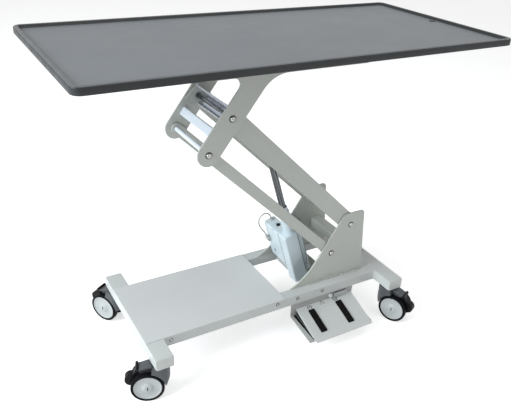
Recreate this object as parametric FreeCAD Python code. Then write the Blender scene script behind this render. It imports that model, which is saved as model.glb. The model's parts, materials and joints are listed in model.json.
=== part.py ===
import FreeCAD, Part
import math
import os

# Powered veterinary exam table: a tray top on a parallelogram lift, with a linear actuator, a foot
# switch and four braked twin-wheel casters. Millimetres. +X is towards the pedestal end, -Y is the
# foot-switch side, +Z is up. The origin is on the floor under the middle of the tray top.

# Tray top
TOP_LENGTH = 1300.0
TOP_DEPTH = 600.0
TRAY_CORNER = 24.0
RIM_HEIGHT = 20.0
RIM_WIDTH = 13.0
RIM_SLOPE = 4.0
RIM_EDGE = 4.0
DECK_DROP = 8.0
DECK_THICKNESS = 5.0
SKIRT_WALL = 9.0
DRAIN_RADIUS = 9.0
DRAIN_FROM_END = 36.0
DRAIN_FLARE = 3.0

# Under-frame of the top: inverted channels
TOP_FRAME_HEIGHT = 20.0
TOP_FRAME_WIDTH = 30.0
TOP_FRAME_WALL = 2.5
TOP_FRAME_INSET = 70.0
TOP_FRAME_REACH = 235.0
TOP_FRAME_INNER_X = 190.0

# Parallelogram lift, pivot to pivot, at the raised pose
ARM_LENGTH = 647.0
ARM_ANGLE = 43.5
LINK_OFFSET_X = 70.0
LINK_OFFSET_Z = 95.6
ARM_PIVOT_X = 284.0
ARM_PIVOT_RISE = 201.0
TOP_ABOVE_PIVOT = 194.6
ARM_WIDTH = 58.0
ARM_THICKNESS = 6.0
ARM_END = 27.0
LINK_WIDTH = 34.0
PLATE_OUTER_Y = 114.0
PLATE_THICKNESS = 5.0
ARM_GAP = 1.5
BUSH_WALL = 4.0
BUSH_FLANGE = 1.2
BUSH_FLANGE_LIP = 5.0
RUNNING_CLEARANCE = 0.05
OPEN_PIVOT_CLEARANCE = 0.3
ARM_LOWER_SHAFT_RADIUS = 10.0
ARM_UPPER_SHAFT_RADIUS = 6.5
LINK_LOWER_SHAFT_RADIUS = 7.0
LINK_UPPER_SHAFT_RADIUS = 7.0
TORSION_TUBE_RADIUS = 19.0
TORSION_TUBE_WALL = 4.0
CHANNEL_BACK = 32.0
CHANNEL_HEIGHT = 42.0
CHANNEL_WALL = 3.0
CHANNEL_LIP = 16.0

# Upper brackets
BRACKET_LEG_WIDTH = 68.0
BRACKET_HEAD_DROP = 84.0
BRACKET_HEAD_LEFT = 280.0
BRACKET_HEAD_RIGHT = 280.0
BRACKET_HEAD_CORNER = 20.0
BRACKET_NOTCH_RADIUS = 19.0
BRACKET_FLARE_RADIUS = 98.0
TIE_WIDTH = 26.0
TIE_FLANGE = 16.0
TIE_WALL = 3.0
TIE_ALONG_LEG = 55.0
TIE_INSET = 17.0

# Base frame: open-bottomed channels on the casters
FRAME_HEIGHT = 36.5
FRAME_WALL = 3.0
BASE_LEFT_X = -471.0
BASE_RIGHT_X = 452.0
CROSSBAR_WIDTH = 55.0
CROSSBAR_HALF_LENGTH = 227.0
RAIL_OUTER_Y = 149.5
RAIL_WIDTH = 40.0
RAIL_LESS_HEIGHT = 3.0
FRAME_CORNER_RADIUS = 14.0
END_CAP_THICKNESS = 4.0
END_CAP_CORNER = 4.0
END_CAP_PLUG = 12.0
PLUG_CLEARANCE = 0.3
DECK_SHEET = 2.0
DECK_SEAM_X = 15.0
DECK_LIP = 14.0

# Pedestal plates and the tube between them
PEDESTAL_TIP_X = 58.0
PEDESTAL_FOOT_X = 118.0
PEDESTAL_FOOT_RISE = 30.0
PEDESTAL_CURVE_RADIUS = 215.0
PEDESTAL_SHOULDER_X = 255.0
PEDESTAL_TOP_RISE = 246.0
PEDESTAL_SHOULDER_RADIUS = 26.0
PEDESTAL_TOP_X = 336.0
PEDESTAL_TOP_RADIUS = 12.0
PEDESTAL_BACK_X = 358.0
PEDESTAL_TIP_RISE = 2.0
CROSS_TUBE_X = 284.0
CROSS_TUBE_WIDTH = 45.0
CROSS_TUBE_RISE = 76.0
CROSS_TUBE_HEIGHT = 37.0
CROSS_TUBE_WALL = 3.0

# Screws
PIVOT_SCREW_HEAD_RADIUS = 8.5
PIVOT_SCREW_HEAD_HEIGHT = 5.5
PIVOT_SCREW_RADIUS = 4.0
PIVOT_SCREW_LENGTH = 22.0
SCREW_HOLE_CLEARANCE = 0.2
PAN_HEAD_TOP = 0.55
PAN_HEAD_SLOPE = 0.7

# Linear actuator, measured along its axis from the lower pin
ACTUATOR_PIN_X = 164.0
ACTUATOR_PIN_BELOW_FRAME = 44.0
ACTUATOR_Y = -25.0
ROD_ON_ARM = 0.616
ROD_RADIUS = 11.0
ROD_BORE_CLEARANCE = 0.4
ROD_FOOT = 240.0
TUBE_RADIUS = 17.5
TUBE_TOP = 320.0
TUBE_RING_RADIUS = 21.0
TUBE_RING_HEIGHT = 6.0
COLLAR_RADIUS = 15.0
COLLAR_HEIGHT = 16.0
HOUSING_BOTTOM = 18.0
HOUSING_TOP = 227.0
HOUSING_LEFT = 32.0
HOUSING_RIGHT = 20.0
HOUSING_HALF_DEPTH = 22.0
HOUSING_EDGE = 3.0
SIDE_COVER_RIGHT = 40.0
SIDE_COVER_BOTTOM = 42.0
SIDE_COVER_TOP = 214.0
SIDE_COVER_HALF_DEPTH = 17.0
ROD_BORE_BOTTOM = 52.0
LUG_RADIUS = 13.0
LUG_HALF_WIDTH = 10.0
MOTOR_RADIUS = 27.0
MOTOR_CENTRE = 46.0
MOTOR_END_Y = 80.0
MOTOR_CAP_RADIUS = 18.0
MOTOR_CAP_HEIGHT = 5.0
BOX_BOTTOM = 75.0
BOX_TOP = 226.0
BOX_RIGHT = 12.0
BOX_END_Y = 92.0
BOX_CORNER = 12.0
BOX_EDGE = 2.5
SOCKET_ALONG_X = 4.0
SOCKET_Y = 40.0
SOCKET_WIDTH = 9.0
SOCKET_LENGTH = 16.0
SOCKET_DEPTH = 6.0
PIN_RADIUS = 5.0
PIN_HEAD_RADIUS = 8.0
PIN_HEAD_HEIGHT = 2.5
EAR_THICKNESS = 6.0
EAR_GAP = 1.0
EAR_RADIUS = 13.5
MOUNT_TUBE_X = 210.0
MOUNT_TUBE_WIDTH = 30.0
MOUNT_TUBE_HEIGHT = 28.0
ROD_EYE_RADIUS = 19.0
ROD_EYE_CLEARANCE = 7.3
ROD_EYE_HALF_WIDTH = 9.0
ROD_NECK_RADIUS = 8.0
ROD_NECK_LENGTH = 24.0
ROD_MOUNT_TUBE_SIZE = 30.0
ROD_MOUNT_TUBE_AHEAD = 46.0

# Cable from the top of the control box to the connector on its left face
CABLE_RADIUS = 2.5
CABLE_Y = 76.0
CABLE_ROUTE = [(234.0, 8.0), (252.0, 8.0), (267.0, 24.0), (264.0, 47.0), (243.0, 59.0), (218.0, 56.0),
               (194.0, 46.0), (175.0, 42.0)]
GLAND_RADIUS = 5.5
GLAND_HEIGHT = 8.0
CONNECTOR_RADIUS = 5.5
CONNECTOR_LENGTH = 17.0
CONNECTOR_SEAT_WIDTH = 16.0
CONNECTOR_SEAT_HEIGHT = 16.0

# Foot switch under the front rail
FOOT_LEFT_X = 45.0
FOOT_RIGHT_X = 302.0
FOOT_SHEET = 3.0
FOOT_FLANGE_OUTER_Y = 146.0
FOOT_FLANGE_DROP = 50.0
FOOT_TOP_FLANGE = 32.0
FOOT_LOWER_REACH = 121.0
FOOT_LOWER_FALL = 22.0
COVER_LEFT_X = 65.0
COVER_RIGHT_X = 296.0
COVER_SHEET = 2.5
COVER_REAR_Y = 147.0
COVER_BELOW_RAIL = 24.5
COVER_REACH = 131.0
COVER_FALL = 47.0
COVER_SIDE_LIP = 7.0
COVER_SLOT_CLEARANCE = 1.2
COVER_POST_RADIUS = 4.0
TREAD_CENTRES = (113.0, 226.0)
TREAD_WIDTH = 22.0
TREAD_START = 21.0
TREAD_LENGTH = 83.0
TREAD_PROUD = 3.5
TREAD_PIN_RADIUS = 2.5
TREAD_PIN_BACK = 5.0
TREAD_PIN_BELOW = 8.0
TREAD_HUB_RADIUS = 4.5
UPRIGHT_ABOVE_PIN = 4.0
SWITCH_WIDTH = 12.0
SWITCH_LENGTH = 20.0
SWITCH_HEIGHT = 11.0
SWITCH_FROM_REAR = 34.0
FOOT_GLAND_X = 203.0
FOOT_GLAND_RADIUS = 8.0
FOOT_GLAND_LENGTH = 14.0
FOOT_GLAND_BELOW_RAIL = 11.0
GUARD_LEFT_X = 218.0
GUARD_RIGHT_X = 272.0
GUARD_DROP = 20.0
GUARD_LIP = 8.0

# Casters
WHEEL_RADIUS = 50.0
CASTER_HEADROOM = 25.0
TYRE_DEPTH = 6.0
TYRE_WIDTH = 19.0
TYRE_SHOULDER = 3.5
CASTER_HALF_WIDTH = 33.0
CASTER_TRAIL = 40.0
CASTER_FROM_END = 32.0
HOOD_CLEARANCE = 2.5
HOOD_FRONT = 27.0
HOOD_BACK = 22.0
HOOD_NOSE = 27.0
HOOD_CHIN_RISE = 24.0
HOOD_CHIN_BACK = 11.0
HOOD_EDGE = 5.0
HOOD_TOP_GAP = 2.0
HOOD_BOTTOM_ABOVE_AXLE = 5.5
SPINE_HALF_WIDTH = 12.0
SPINE_FRONT = 13.0
SPINE_BACK = 22.0
SPINE_SEAT_COVER = 2.0
SPINE_SEAT_HEIGHT = 14.0
AXLE_RADIUS = 5.0
AXLE_BOSS_RADIUS = 14.0
HUB_CONE_RADIUS = 16.0
HUB_CAP_RADIUS = 8.0
HUB_CONE_HEIGHT = 5.0
DISC_DISH = 3.0
DISC_RIM = 5.0
STEM_RADIUS = 8.0
STEM_HEIGHT = 26.0
STEM_SOCKET_WALL = 5.0
STEM_COLLAR_RADIUS = 20.0
PEDAL_PIVOT_BACK = 38.0
PEDAL_PIVOT_ABOVE_WHEEL = -14.0
PEDAL_HALF_WIDTH = 11.0
PEDAL_HUB_RADIUS = 6.0
PEDAL_SEAT_CLEARANCE = 0.3
PEDAL_TAB_REACH = 74.0
PEDAL_TAB_HALF_WIDTH = 18.0
PEDAL_TAB_HEIGHT = 20.0
PEDAL_TAB_BELOW_BAR = 3.0
PEDAL_TAB_THICKNESS = 5.0
PEDAL_LOBE_BACK = 86.0
PEDAL_LOBE_ABOVE_AXLE = 18.0
PEDAL_LOBE_RADIUS = 20.0
CASTER_HEADINGS = {"front_left": 158.0, "front_right": -65.0, "rear_left": 122.0, "rear_right": -25.0}

# Worked out from the values above
caster_height = 2 * WHEEL_RADIUS + CASTER_HEADROOM
caster_y = CROSSBAR_HALF_LENGTH - CASTER_FROM_END
frame_top = caster_height + FRAME_HEIGHT
rail_bottom = caster_height + RAIL_LESS_HEIGHT
rail_inner_y = RAIL_OUTER_Y - RAIL_WIDTH
plate_inner_y = PLATE_OUTER_Y - PLATE_THICKNESS
arm_outer_y = plate_inner_y - ARM_GAP
arm_inner_y = arm_outer_y - ARM_THICKNESS
arm_pivot_z = frame_top + ARM_PIVOT_RISE
arm_rise = ARM_LENGTH * math.sin(math.radians(ARM_ANGLE))
arm_run = ARM_LENGTH * math.cos(math.radians(ARM_ANGLE))
arm_lower = (ARM_PIVOT_X, arm_pivot_z)
arm_upper = (ARM_PIVOT_X - arm_run, arm_pivot_z + arm_rise)
link_lower = (arm_lower[0] - LINK_OFFSET_X, arm_lower[1] - LINK_OFFSET_Z)
link_upper = (arm_upper[0] - LINK_OFFSET_X, arm_upper[1] - LINK_OFFSET_Z)
top_height = arm_upper[1] + TOP_ABOVE_PIVOT
deck_top = top_height - DECK_DROP
deck_underside = deck_top - DECK_THICKNESS
top_frame_bottom = deck_underside - TOP_FRAME_HEIGHT
actuator_pin = (ACTUATOR_PIN_X, frame_top - ACTUATOR_PIN_BELOW_FRAME)
rod_pin = (arm_lower[0] - ROD_ON_ARM * arm_run, arm_lower[1] + ROD_ON_ARM * arm_rise)
actuator_length = math.hypot(rod_pin[0] - actuator_pin[0], rod_pin[1] - actuator_pin[1])
ear_inner = ROD_EYE_HALF_WIDTH + EAR_GAP
lug_ear_inner = LUG_HALF_WIDTH + EAR_GAP


def point(x, y, z):
    return FreeCAD.Vector(x, y, z)


def box(x0, x1, y0, y1, z0, z1):
    return Part.makeBox(x1 - x0, y1 - y0, z1 - z0, point(x0, y0, z0))


def round_y(centre, radius, y0, y1):
    return Part.makeCylinder(radius, y1 - y0, point(centre[0], y0, centre[1]), point(0, 1, 0))


def round_z(x, y, radius, z0, z1):
    return Part.makeCylinder(radius, z1 - z0, point(x, y, z0))


def sleeve_y(centre, outer, inner, y0, y1):
    return round_y(centre, outer, y0, y1).cut(round_y(centre, inner, y0, y1))


def join(shapes):
    whole = shapes[0].fuse(shapes[1:]) if len(shapes) > 1 else shapes[0]
    return whole.removeSplitter()


def group(shapes):
    return Part.makeCompound(shapes)


def heading_frame(origin, angle):
    """Maps (along, left) to the XZ plane: along runs at angle degrees from +X, left is a quarter turn on."""
    c = math.cos(math.radians(angle))
    s = math.sin(math.radians(angle))

    def place(along, left, y=0.0):
        return point(origin[0] + along * c - left * s, y, origin[1] + along * s + left * c)
    return place


def rounded_wire(corners, place):
    """Closed wire through corners (a, b, radius), each rounded by its radius, set in space by place."""
    turns = []
    for i, (a, b, radius) in enumerate(corners):
        here = point(a, b, 0)
        before = corners[i - 1]
        after = corners[(i + 1) % len(corners)]
        back = (point(before[0], before[1], 0) - here).normalize()
        ahead = (point(after[0], after[1], 0) - here).normalize()
        if radius == 0:
            turns.append((here, here, here))
            continue
        half = back.getAngle(ahead) / 2
        bisector = (back + ahead).normalize()
        middle = here + bisector * (radius / math.sin(half) - radius)
        reach = radius / math.tan(half)
        turns.append((here + back * reach, middle, here + ahead * reach))
    edges = []
    for i, (start, middle, end) in enumerate(turns):
        if (end - start).Length > 1e-6:
            edges.append(Part.Arc(place(start), place(middle), place(end)).toShape())
        following = turns[(i + 1) % len(turns)][0]
        if (following - end).Length > 1e-6:
            edges.append(Part.LineSegment(place(end), place(following)).toShape())
    return Part.Wire(edges)


def plate_xz(corners, y0, y1, place=None):
    """Plate of the outline (x, z, radius), or (along, left, radius) in a heading frame, from y0 to y1."""
    def spot(v):
        return place(v.x, v.y, y0) if place else point(v.x, y0, v.y)
    return Part.Face(rounded_wire(corners, spot)).extrude(point(0, y1 - y0, 0))


def plate_yz(corners, x0, x1):
    face = Part.Face(rounded_wire(corners, lambda v: point(x0, v.x, v.y)))
    return face.extrude(point(x1 - x0, 0, 0))


def plate_xy(corners, z0, z1):
    face = Part.Face(rounded_wire(corners, lambda v: point(v.x, v.y, z0)))
    return face.extrude(point(0, 0, z1 - z0))


def rectangle(half_x, half_y, radius):
    return [(-half_x, -half_y, radius), (half_x, -half_y, radius), (half_x, half_y, radius),
            (-half_x, half_y, radius)]


def edges_along(shape, axis, least=0.0):
    """Straight edges parallel to a coordinate axis and longer than least."""
    chosen = []
    for edge in shape.Edges:
        ends = edge.Vertexes
        if len(ends) != 2 or edge.Curve.TypeId != "Part::GeomLine":
            continue
        span = ends[1].Point - ends[0].Point
        if abs(abs(span.dot(axis)) - span.Length) < 1e-6 and span.Length > least:
            chosen.append(edge)
    return chosen


def edges_at_height(shape, z):
    return [e for e in shape.Edges if abs(e.BoundBox.ZMin - z) < 1e-6 and abs(e.BoundBox.ZMax - z) < 1e-6]


# Table top ---------------------------------------------------------------------------------------


def tray_top():
    """Moulded tray: a raised rim round a flat deck, hollow under the deck, with a drain hole."""
    half_x = TOP_LENGTH / 2
    half_y = TOP_DEPTH / 2
    bottom = top_height - RIM_HEIGHT
    body = plate_xy(rectangle(half_x, half_y, TRAY_CORNER), bottom, top_height)
    body = body.makeChamfer(RIM_EDGE, edges_at_height(body, top_height))
    body = body.makeChamfer(RIM_EDGE / 2, edges_at_height(body, bottom))
    inner_x = half_x - RIM_WIDTH
    inner_y = half_y - RIM_WIDTH
    inner_corner = TRAY_CORNER - RIM_WIDTH
    mouth = rounded_wire(rectangle(inner_x, inner_y, inner_corner), lambda v: point(v.x, v.y, top_height))
    floor = rounded_wire(rectangle(inner_x - RIM_SLOPE, inner_y - RIM_SLOPE, inner_corner),
                         lambda v: point(v.x, v.y, deck_top))
    basin = Part.makeLoft([floor, mouth], True, True)
    under_corner = TRAY_CORNER - SKIRT_WALL
    underside = plate_xy(rectangle(half_x - SKIRT_WALL, half_y - SKIRT_WALL, under_corner),
                         bottom, deck_underside)
    drain_x = half_x - DRAIN_FROM_END
    drain = round_z(drain_x, 0, DRAIN_RADIUS, deck_underside, deck_top)
    flare = Part.makeCone(DRAIN_RADIUS, DRAIN_RADIUS + DRAIN_FLARE, DRAIN_FLARE / 2,
                          point(drain_x, 0, deck_top - DRAIN_FLARE / 2))
    return body.cut([basin, underside, drain, flare])


def channel_net(beams, wall, z0, z1):
    """Beams (x0, x1, y0, y1) joined as one set of inverted channels, closed at their ends."""
    outer = join([box(x0, x1, y0, y1, z0, z1) for x0, x1, y0, y1 in beams])
    inner = join([box(x0 + wall, x1 - wall, y0 + wall, y1 - wall, z0, z1 - wall) for x0, x1, y0, y1 in beams])
    return outer.cut(inner)


def top_frame():
    """Two long channels over the brackets and four cross channels, under the tray."""
    half_width = TOP_FRAME_WIDTH / 2
    end = TOP_LENGTH / 2 - TOP_FRAME_INSET
    middle_y = PLATE_OUTER_Y - PLATE_THICKNESS / 2
    beams = [(-end, end, side * middle_y - half_width, side * middle_y + half_width) for side in (-1, 1)]
    for x in (-end + half_width, -TOP_FRAME_INNER_X, TOP_FRAME_INNER_X, end - half_width):
        beams.append((x - half_width, x + half_width, -TOP_FRAME_REACH, TOP_FRAME_REACH))
    return channel_net(beams, TOP_FRAME_WALL, top_frame_bottom, deck_underside)


def bracket(side):
    """Upper bracket plate: a leg with a rounded foot, flaring into a long head under the top frame."""
    y0 = min(side * plate_inner_y, side * PLATE_OUTER_Y)
    dx = arm_upper[0] - link_upper[0]
    dz = arm_upper[1] - link_upper[1]
    reach = math.hypot(dx, dz)
    ux, uz = dx / reach, dz / reach
    half = BRACKET_LEG_WIDTH / 2
    head_bottom = top_height - BRACKET_HEAD_DROP
    bracket_top = deck_underside - TOP_FRAME_WALL

    def edge_point(side_sign, z):
        x0 = link_upper[0] - side_sign * half * uz
        z0 = link_upper[1] + side_sign * half * ux
        return x0 + (z - z0) * ux / uz

    foot_x = link_upper[0] - half * ux
    foot_z = link_upper[1] - half * uz
    corners = [
        (foot_x - half * uz, foot_z + half * ux, half),
        (foot_x + half * uz, foot_z - half * ux, half),
        (edge_point(-1, head_bottom), head_bottom, BRACKET_FLARE_RADIUS),
        (BRACKET_HEAD_RIGHT, head_bottom, BRACKET_HEAD_CORNER),
        (BRACKET_HEAD_RIGHT, bracket_top, 0),
        (-BRACKET_HEAD_LEFT, bracket_top, 0),
        (-BRACKET_HEAD_LEFT, head_bottom, BRACKET_HEAD_CORNER),
        (edge_point(1, head_bottom), head_bottom, BRACKET_NOTCH_RADIUS)]
    plate = plate_xz(corners, y0, y0 + PLATE_THICKNESS)
    holes = [round_y(c, PIVOT_SCREW_RADIUS + SCREW_HOLE_CLEARANCE, y0, y0 + PLATE_THICKNESS)
             for c in (arm_upper, link_upper)]
    return plate.cut(holes)


def bracket_tie():
    """Folded strip between the two bracket legs, near their left edge."""
    angle = math.degrees(math.atan2(LINK_OFFSET_Z, LINK_OFFSET_X))
    place = heading_frame(link_upper, angle)
    left = BRACKET_LEG_WIDTH / 2 - TIE_INSET
    low = TIE_ALONG_LEG - TIE_WIDTH / 2
    high = TIE_ALONG_LEG + TIE_WIDTH / 2
    corners = [(low, left, 0), (high, left, TIE_WALL), (high, left - TIE_FLANGE, 0),
               (high - TIE_WALL, left - TIE_FLANGE, 0), (high - TIE_WALL, left - TIE_WALL, 0),
               (low, left - TIE_WALL, 0)]
    return plate_xz(corners, -plate_inner_y, plate_inner_y, place)


def shaft(centre, radius):
    """Shaft between a pair of plates, drilled at both ends for the pivot screws."""
    rod = round_y(centre, radius, -plate_inner_y, plate_inner_y)
    depth = PIVOT_SCREW_LENGTH - PLATE_THICKNESS
    hole = PIVOT_SCREW_RADIUS + RUNNING_CLEARANCE
    drill = [round_y(centre, hole, plate_inner_y - depth, plate_inner_y),
             round_y(centre, hole, -plate_inner_y, -plate_inner_y + depth)]
    return rod.cut(drill)


def pivot_screw(centre, side):
    """Pan-head screw through a plate into the end of a shaft."""
    head = PIVOT_SCREW_HEAD_HEIGHT
    seat = point(centre[0], side * PLATE_OUTER_Y, centre[1])
    out = point(0, side, 0)
    rim = head * (1 - PAN_HEAD_SLOPE)
    cap = Part.makeCylinder(PIVOT_SCREW_HEAD_RADIUS, rim, seat, out)
    crown = Part.makeCone(PIVOT_SCREW_HEAD_RADIUS, PIVOT_SCREW_HEAD_RADIUS * PAN_HEAD_TOP, head - rim,
                          seat + out * rim, out)
    shank = Part.makeCylinder(PIVOT_SCREW_RADIUS, PIVOT_SCREW_LENGTH, seat - out * PIVOT_SCREW_LENGTH, out)
    return join([cap, crown, shank])


def pivot_screws(centres):
    return [pivot_screw(centre, side) for centre in centres for side in (-1, 1)]


# Lift arms and links -----------------------------------------------------------------------------


def bar(start, length, start_end, far_end, width, side, bores, far_round):
    """Flat bar from the pivot start at the lift angle, with a bore at each (distance, radius)."""
    place = heading_frame(start, 180 - ARM_ANGLE)
    y0 = min(side * arm_inner_y, side * arm_outer_y)
    half = width / 2
    far_radius = half if far_round else RIM_EDGE
    corners = [(-start_end, -half, half), (length + far_end, -half, far_radius),
               (length + far_end, half, far_radius), (-start_end, half, half)]
    plate = plate_xz(corners, y0, y0 + ARM_THICKNESS, place)
    for distance, radius in bores:
        middle = place(distance, 0)
        plate = plate.cut(round_y((middle.x, middle.z), radius, y0, y0 + ARM_THICKNESS))
    return plate


def bush_radius(shaft_radius):
    return shaft_radius + RUNNING_CLEARANCE + BUSH_WALL


def lift_arm(side):
    bores = [(0, bush_radius(ARM_LOWER_SHAFT_RADIUS) + RUNNING_CLEARANCE),
             (ARM_LENGTH, bush_radius(ARM_UPPER_SHAFT_RADIUS) + RUNNING_CLEARANCE)]
    return bar(arm_lower, ARM_LENGTH, ARM_WIDTH / 2, ARM_END, ARM_WIDTH, side, bores, False)


def lower_link(side):
    bores = [(0, bush_radius(LINK_LOWER_SHAFT_RADIUS) + RUNNING_CLEARANCE),
             (ARM_LENGTH, LINK_UPPER_SHAFT_RADIUS + OPEN_PIVOT_CLEARANCE)]
    return bar(link_lower, ARM_LENGTH, LINK_WIDTH / 2, LINK_WIDTH / 2, LINK_WIDTH, side, bores, True)


def flanged_bush(centre, shaft_radius, side):
    """Bush pressed into a bar, with a thin flange against the plate outside it."""
    bore = shaft_radius + RUNNING_CLEARANCE
    outer = bush_radius(shaft_radius)
    inside = side * arm_inner_y
    face = side * arm_outer_y
    lip = side * (arm_outer_y + BUSH_FLANGE)
    barrel = round_y(centre, outer, min(inside, face), max(inside, face))
    flange = round_y(centre, outer + BUSH_FLANGE_LIP, min(face, lip), max(face, lip))
    hole = round_y(centre, bore, min(inside, lip), max(inside, lip))
    return barrel.fuse(flange).cut(hole)


def arm_bushes():
    ends = ((arm_lower, ARM_LOWER_SHAFT_RADIUS), (arm_upper, ARM_UPPER_SHAFT_RADIUS))
    return group([flanged_bush(centre, radius, side) for side in (-1, 1) for centre, radius in ends])


def link_bushes():
    return group([flanged_bush(link_lower, LINK_LOWER_SHAFT_RADIUS, side) for side in (-1, 1)])


def arm_torsion_tube():
    """Tube round the lower shaft, welded between the arms."""
    return sleeve_y(arm_lower, TORSION_TUBE_RADIUS, TORSION_TUBE_RADIUS - TORSION_TUBE_WALL,
                    -arm_inner_y, arm_inner_y)


def arm_channel():
    """Folded channel between the upper ends of the arms, open towards their ends."""
    place = heading_frame(arm_upper, 180 - ARM_ANGLE)
    half = CHANNEL_HEIGHT / 2
    wall = CHANNEL_WALL
    web = -CHANNEL_BACK
    corners = [(ARM_END, -half, 0), (web, -half, 2 * wall), (web, half, 2 * wall),
               (web + CHANNEL_LIP, half, 0), (web + CHANNEL_LIP, half - wall, 0),
               (web + wall, half - wall, wall), (web + wall, wall - half, wall), (ARM_END, wall - half, 0)]
    return plate_xz(corners, -arm_inner_y, arm_inner_y, place)


def rod_mount():
    """Square tube between the arms with two ears that hold the pin of the actuator rod."""
    place = heading_frame(rod_pin, 180 - ARM_ANGLE)
    half = ROD_MOUNT_TUBE_SIZE / 2
    ahead = ROD_MOUNT_TUBE_AHEAD
    wall = CROSS_TUBE_WALL

    def square(size, radius):
        return [(ahead - size, -size, radius), (ahead + size, -size, radius), (ahead + size, size, radius),
                (ahead - size, size, radius)]
    tube = plate_xz(square(half, wall), -arm_inner_y, arm_inner_y, place)
    tube = tube.cut(plate_xz(square(half - wall, 0), -arm_inner_y, arm_inner_y, place))
    ears = []
    for inner in (ear_inner, -ear_inner - EAR_THICKNESS):
        y0 = ACTUATOR_Y + inner
        ear = plate_xz([(-EAR_RADIUS, -EAR_RADIUS, EAR_RADIUS), (ahead - half, -EAR_RADIUS, 0),
                        (ahead - half, EAR_RADIUS, 0), (-EAR_RADIUS, EAR_RADIUS, EAR_RADIUS)],
                       y0, y0 + EAR_THICKNESS, place)
        ears.append(ear.cut(round_y(rod_pin, PIN_RADIUS + RUNNING_CLEARANCE, y0, y0 + EAR_THICKNESS)))
    return join([tube] + ears)


def headed_pin(centre, inner):
    """Clevis pin through two ears, with a flat head at each end."""
    reach = inner + EAR_THICKNESS
    pin = round_y(centre, PIN_RADIUS, ACTUATOR_Y - reach, ACTUATOR_Y + reach)
    heads = [round_y(centre, PIN_HEAD_RADIUS, ACTUATOR_Y + reach, ACTUATOR_Y + reach + PIN_HEAD_HEIGHT),
             round_y(centre, PIN_HEAD_RADIUS, ACTUATOR_Y - reach - PIN_HEAD_HEIGHT, ACTUATOR_Y - reach)]
    return join([pin] + heads)


# Base --------------------------------------------------------------------------------------------


def crossbar_spans():
    return [(BASE_LEFT_X, BASE_LEFT_X + CROSSBAR_WIDTH), (BASE_RIGHT_X - CROSSBAR_WIDTH, BASE_RIGHT_X)]


def caster_spots():
    left, right = crossbar_spans()
    spots = {}
    for end, span in (("left", left), ("right", right)):
        for row, side in (("front", -1), ("rear", 1)):
            spots[row + "_" + end] = ((span[0] + span[1]) / 2, side * caster_y)
    return spots


def base_frame():
    """Two rails and two cross members as one set of inverted channels, with the caster sockets."""
    left, right = crossbar_spans()
    inner = FRAME_WALL
    outline = []
    hollow = []
    for x0, x1 in (left, right):
        outline.append(box(x0, x1, -CROSSBAR_HALF_LENGTH, CROSSBAR_HALF_LENGTH, caster_height, frame_top))
        hollow.append(box(x0 + inner, x1 - inner, -CROSSBAR_HALF_LENGTH, CROSSBAR_HALF_LENGTH,
                          caster_height, frame_top - inner))
    for side in (-1, 1):
        y0 = min(side * rail_inner_y, side * RAIL_OUTER_Y)
        outline.append(box(left[1], right[0], y0, y0 + RAIL_WIDTH, rail_bottom, frame_top))
        hollow.append(box(left[1], right[0], y0 + inner, y0 + RAIL_WIDTH - inner,
                          rail_bottom, frame_top - inner))
    body = join(outline)
    corners = [e for e in edges_along(body, point(0, 0, 1))
               if abs(e.BoundBox.XMin - right[0]) < 1e-6 and abs(abs(e.BoundBox.YMin) - RAIL_OUTER_Y) < 1e-6
               and e.BoundBox.ZMin > caster_height + 1e-6]
    if corners:
        body = body.makeFillet(FRAME_CORNER_RADIUS, corners)
    body = body.cut(hollow)
    sockets = []
    bore = STEM_RADIUS + RUNNING_CLEARANCE
    for x, y in caster_spots().values():
        floor = box(x - CROSSBAR_WIDTH / 2 + inner, x + CROSSBAR_WIDTH / 2 - inner,
                    y - CROSSBAR_WIDTH / 2, y + CROSSBAR_WIDTH / 2, caster_height, caster_height + inner)
        barrel = round_z(x, y, bore + STEM_SOCKET_WALL, caster_height, frame_top - inner)
        sockets.append(floor.fuse(barrel).cut(round_z(x, y, bore, caster_height, frame_top - inner)))
    return join([body] + sockets)


def base_deck():
    """Thin sheet over both rails, from the left edge to the seam, with a turned-down lip."""
    left = crossbar_spans()[0]
    z1 = frame_top + DECK_SHEET
    sheet = box(left[0], DECK_SEAM_X, -RAIL_OUTER_Y, RAIL_OUTER_Y, frame_top, z1)
    lip_half = rail_inner_y - PLUG_CLEARANCE
    lip = box(DECK_SEAM_X - DECK_SHEET, DECK_SEAM_X, -lip_half, lip_half, frame_top - DECK_LIP, frame_top)
    return join([sheet, lip])


def crossbar_end_caps():
    caps = []
    for x0, x1 in crossbar_spans():
        for side in (-1, 1):
            inner_y = side * CROSSBAR_HALF_LENGTH
            outer_y = side * (CROSSBAR_HALF_LENGTH + END_CAP_THICKNESS)
            plug_y = side * (CROSSBAR_HALF_LENGTH - END_CAP_PLUG)
            face = plate_xz([(x0, caster_height, END_CAP_CORNER), (x1, caster_height, END_CAP_CORNER),
                             (x1, frame_top, END_CAP_CORNER), (x0, frame_top, END_CAP_CORNER)],
                            min(inner_y, outer_y), max(inner_y, outer_y))
            inset = FRAME_WALL + PLUG_CLEARANCE
            low = caster_height + FRAME_WALL
            plug = box(x0 + inset, x1 - inset, min(plug_y, inner_y), max(plug_y, inner_y), low, frame_top - inset)
            socket = caster_clearance(x0, x1, side)
            caps.append(join([face, plug.cut(socket)]))
    return group(caps)


def caster_clearance(x0, x1, side):
    """Room that an end plug leaves round the stem socket beside it."""
    radius = STEM_RADIUS + RUNNING_CLEARANCE + STEM_SOCKET_WALL + PLUG_CLEARANCE
    return round_z((x0 + x1) / 2, side * caster_y, radius, caster_height, frame_top)


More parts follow.
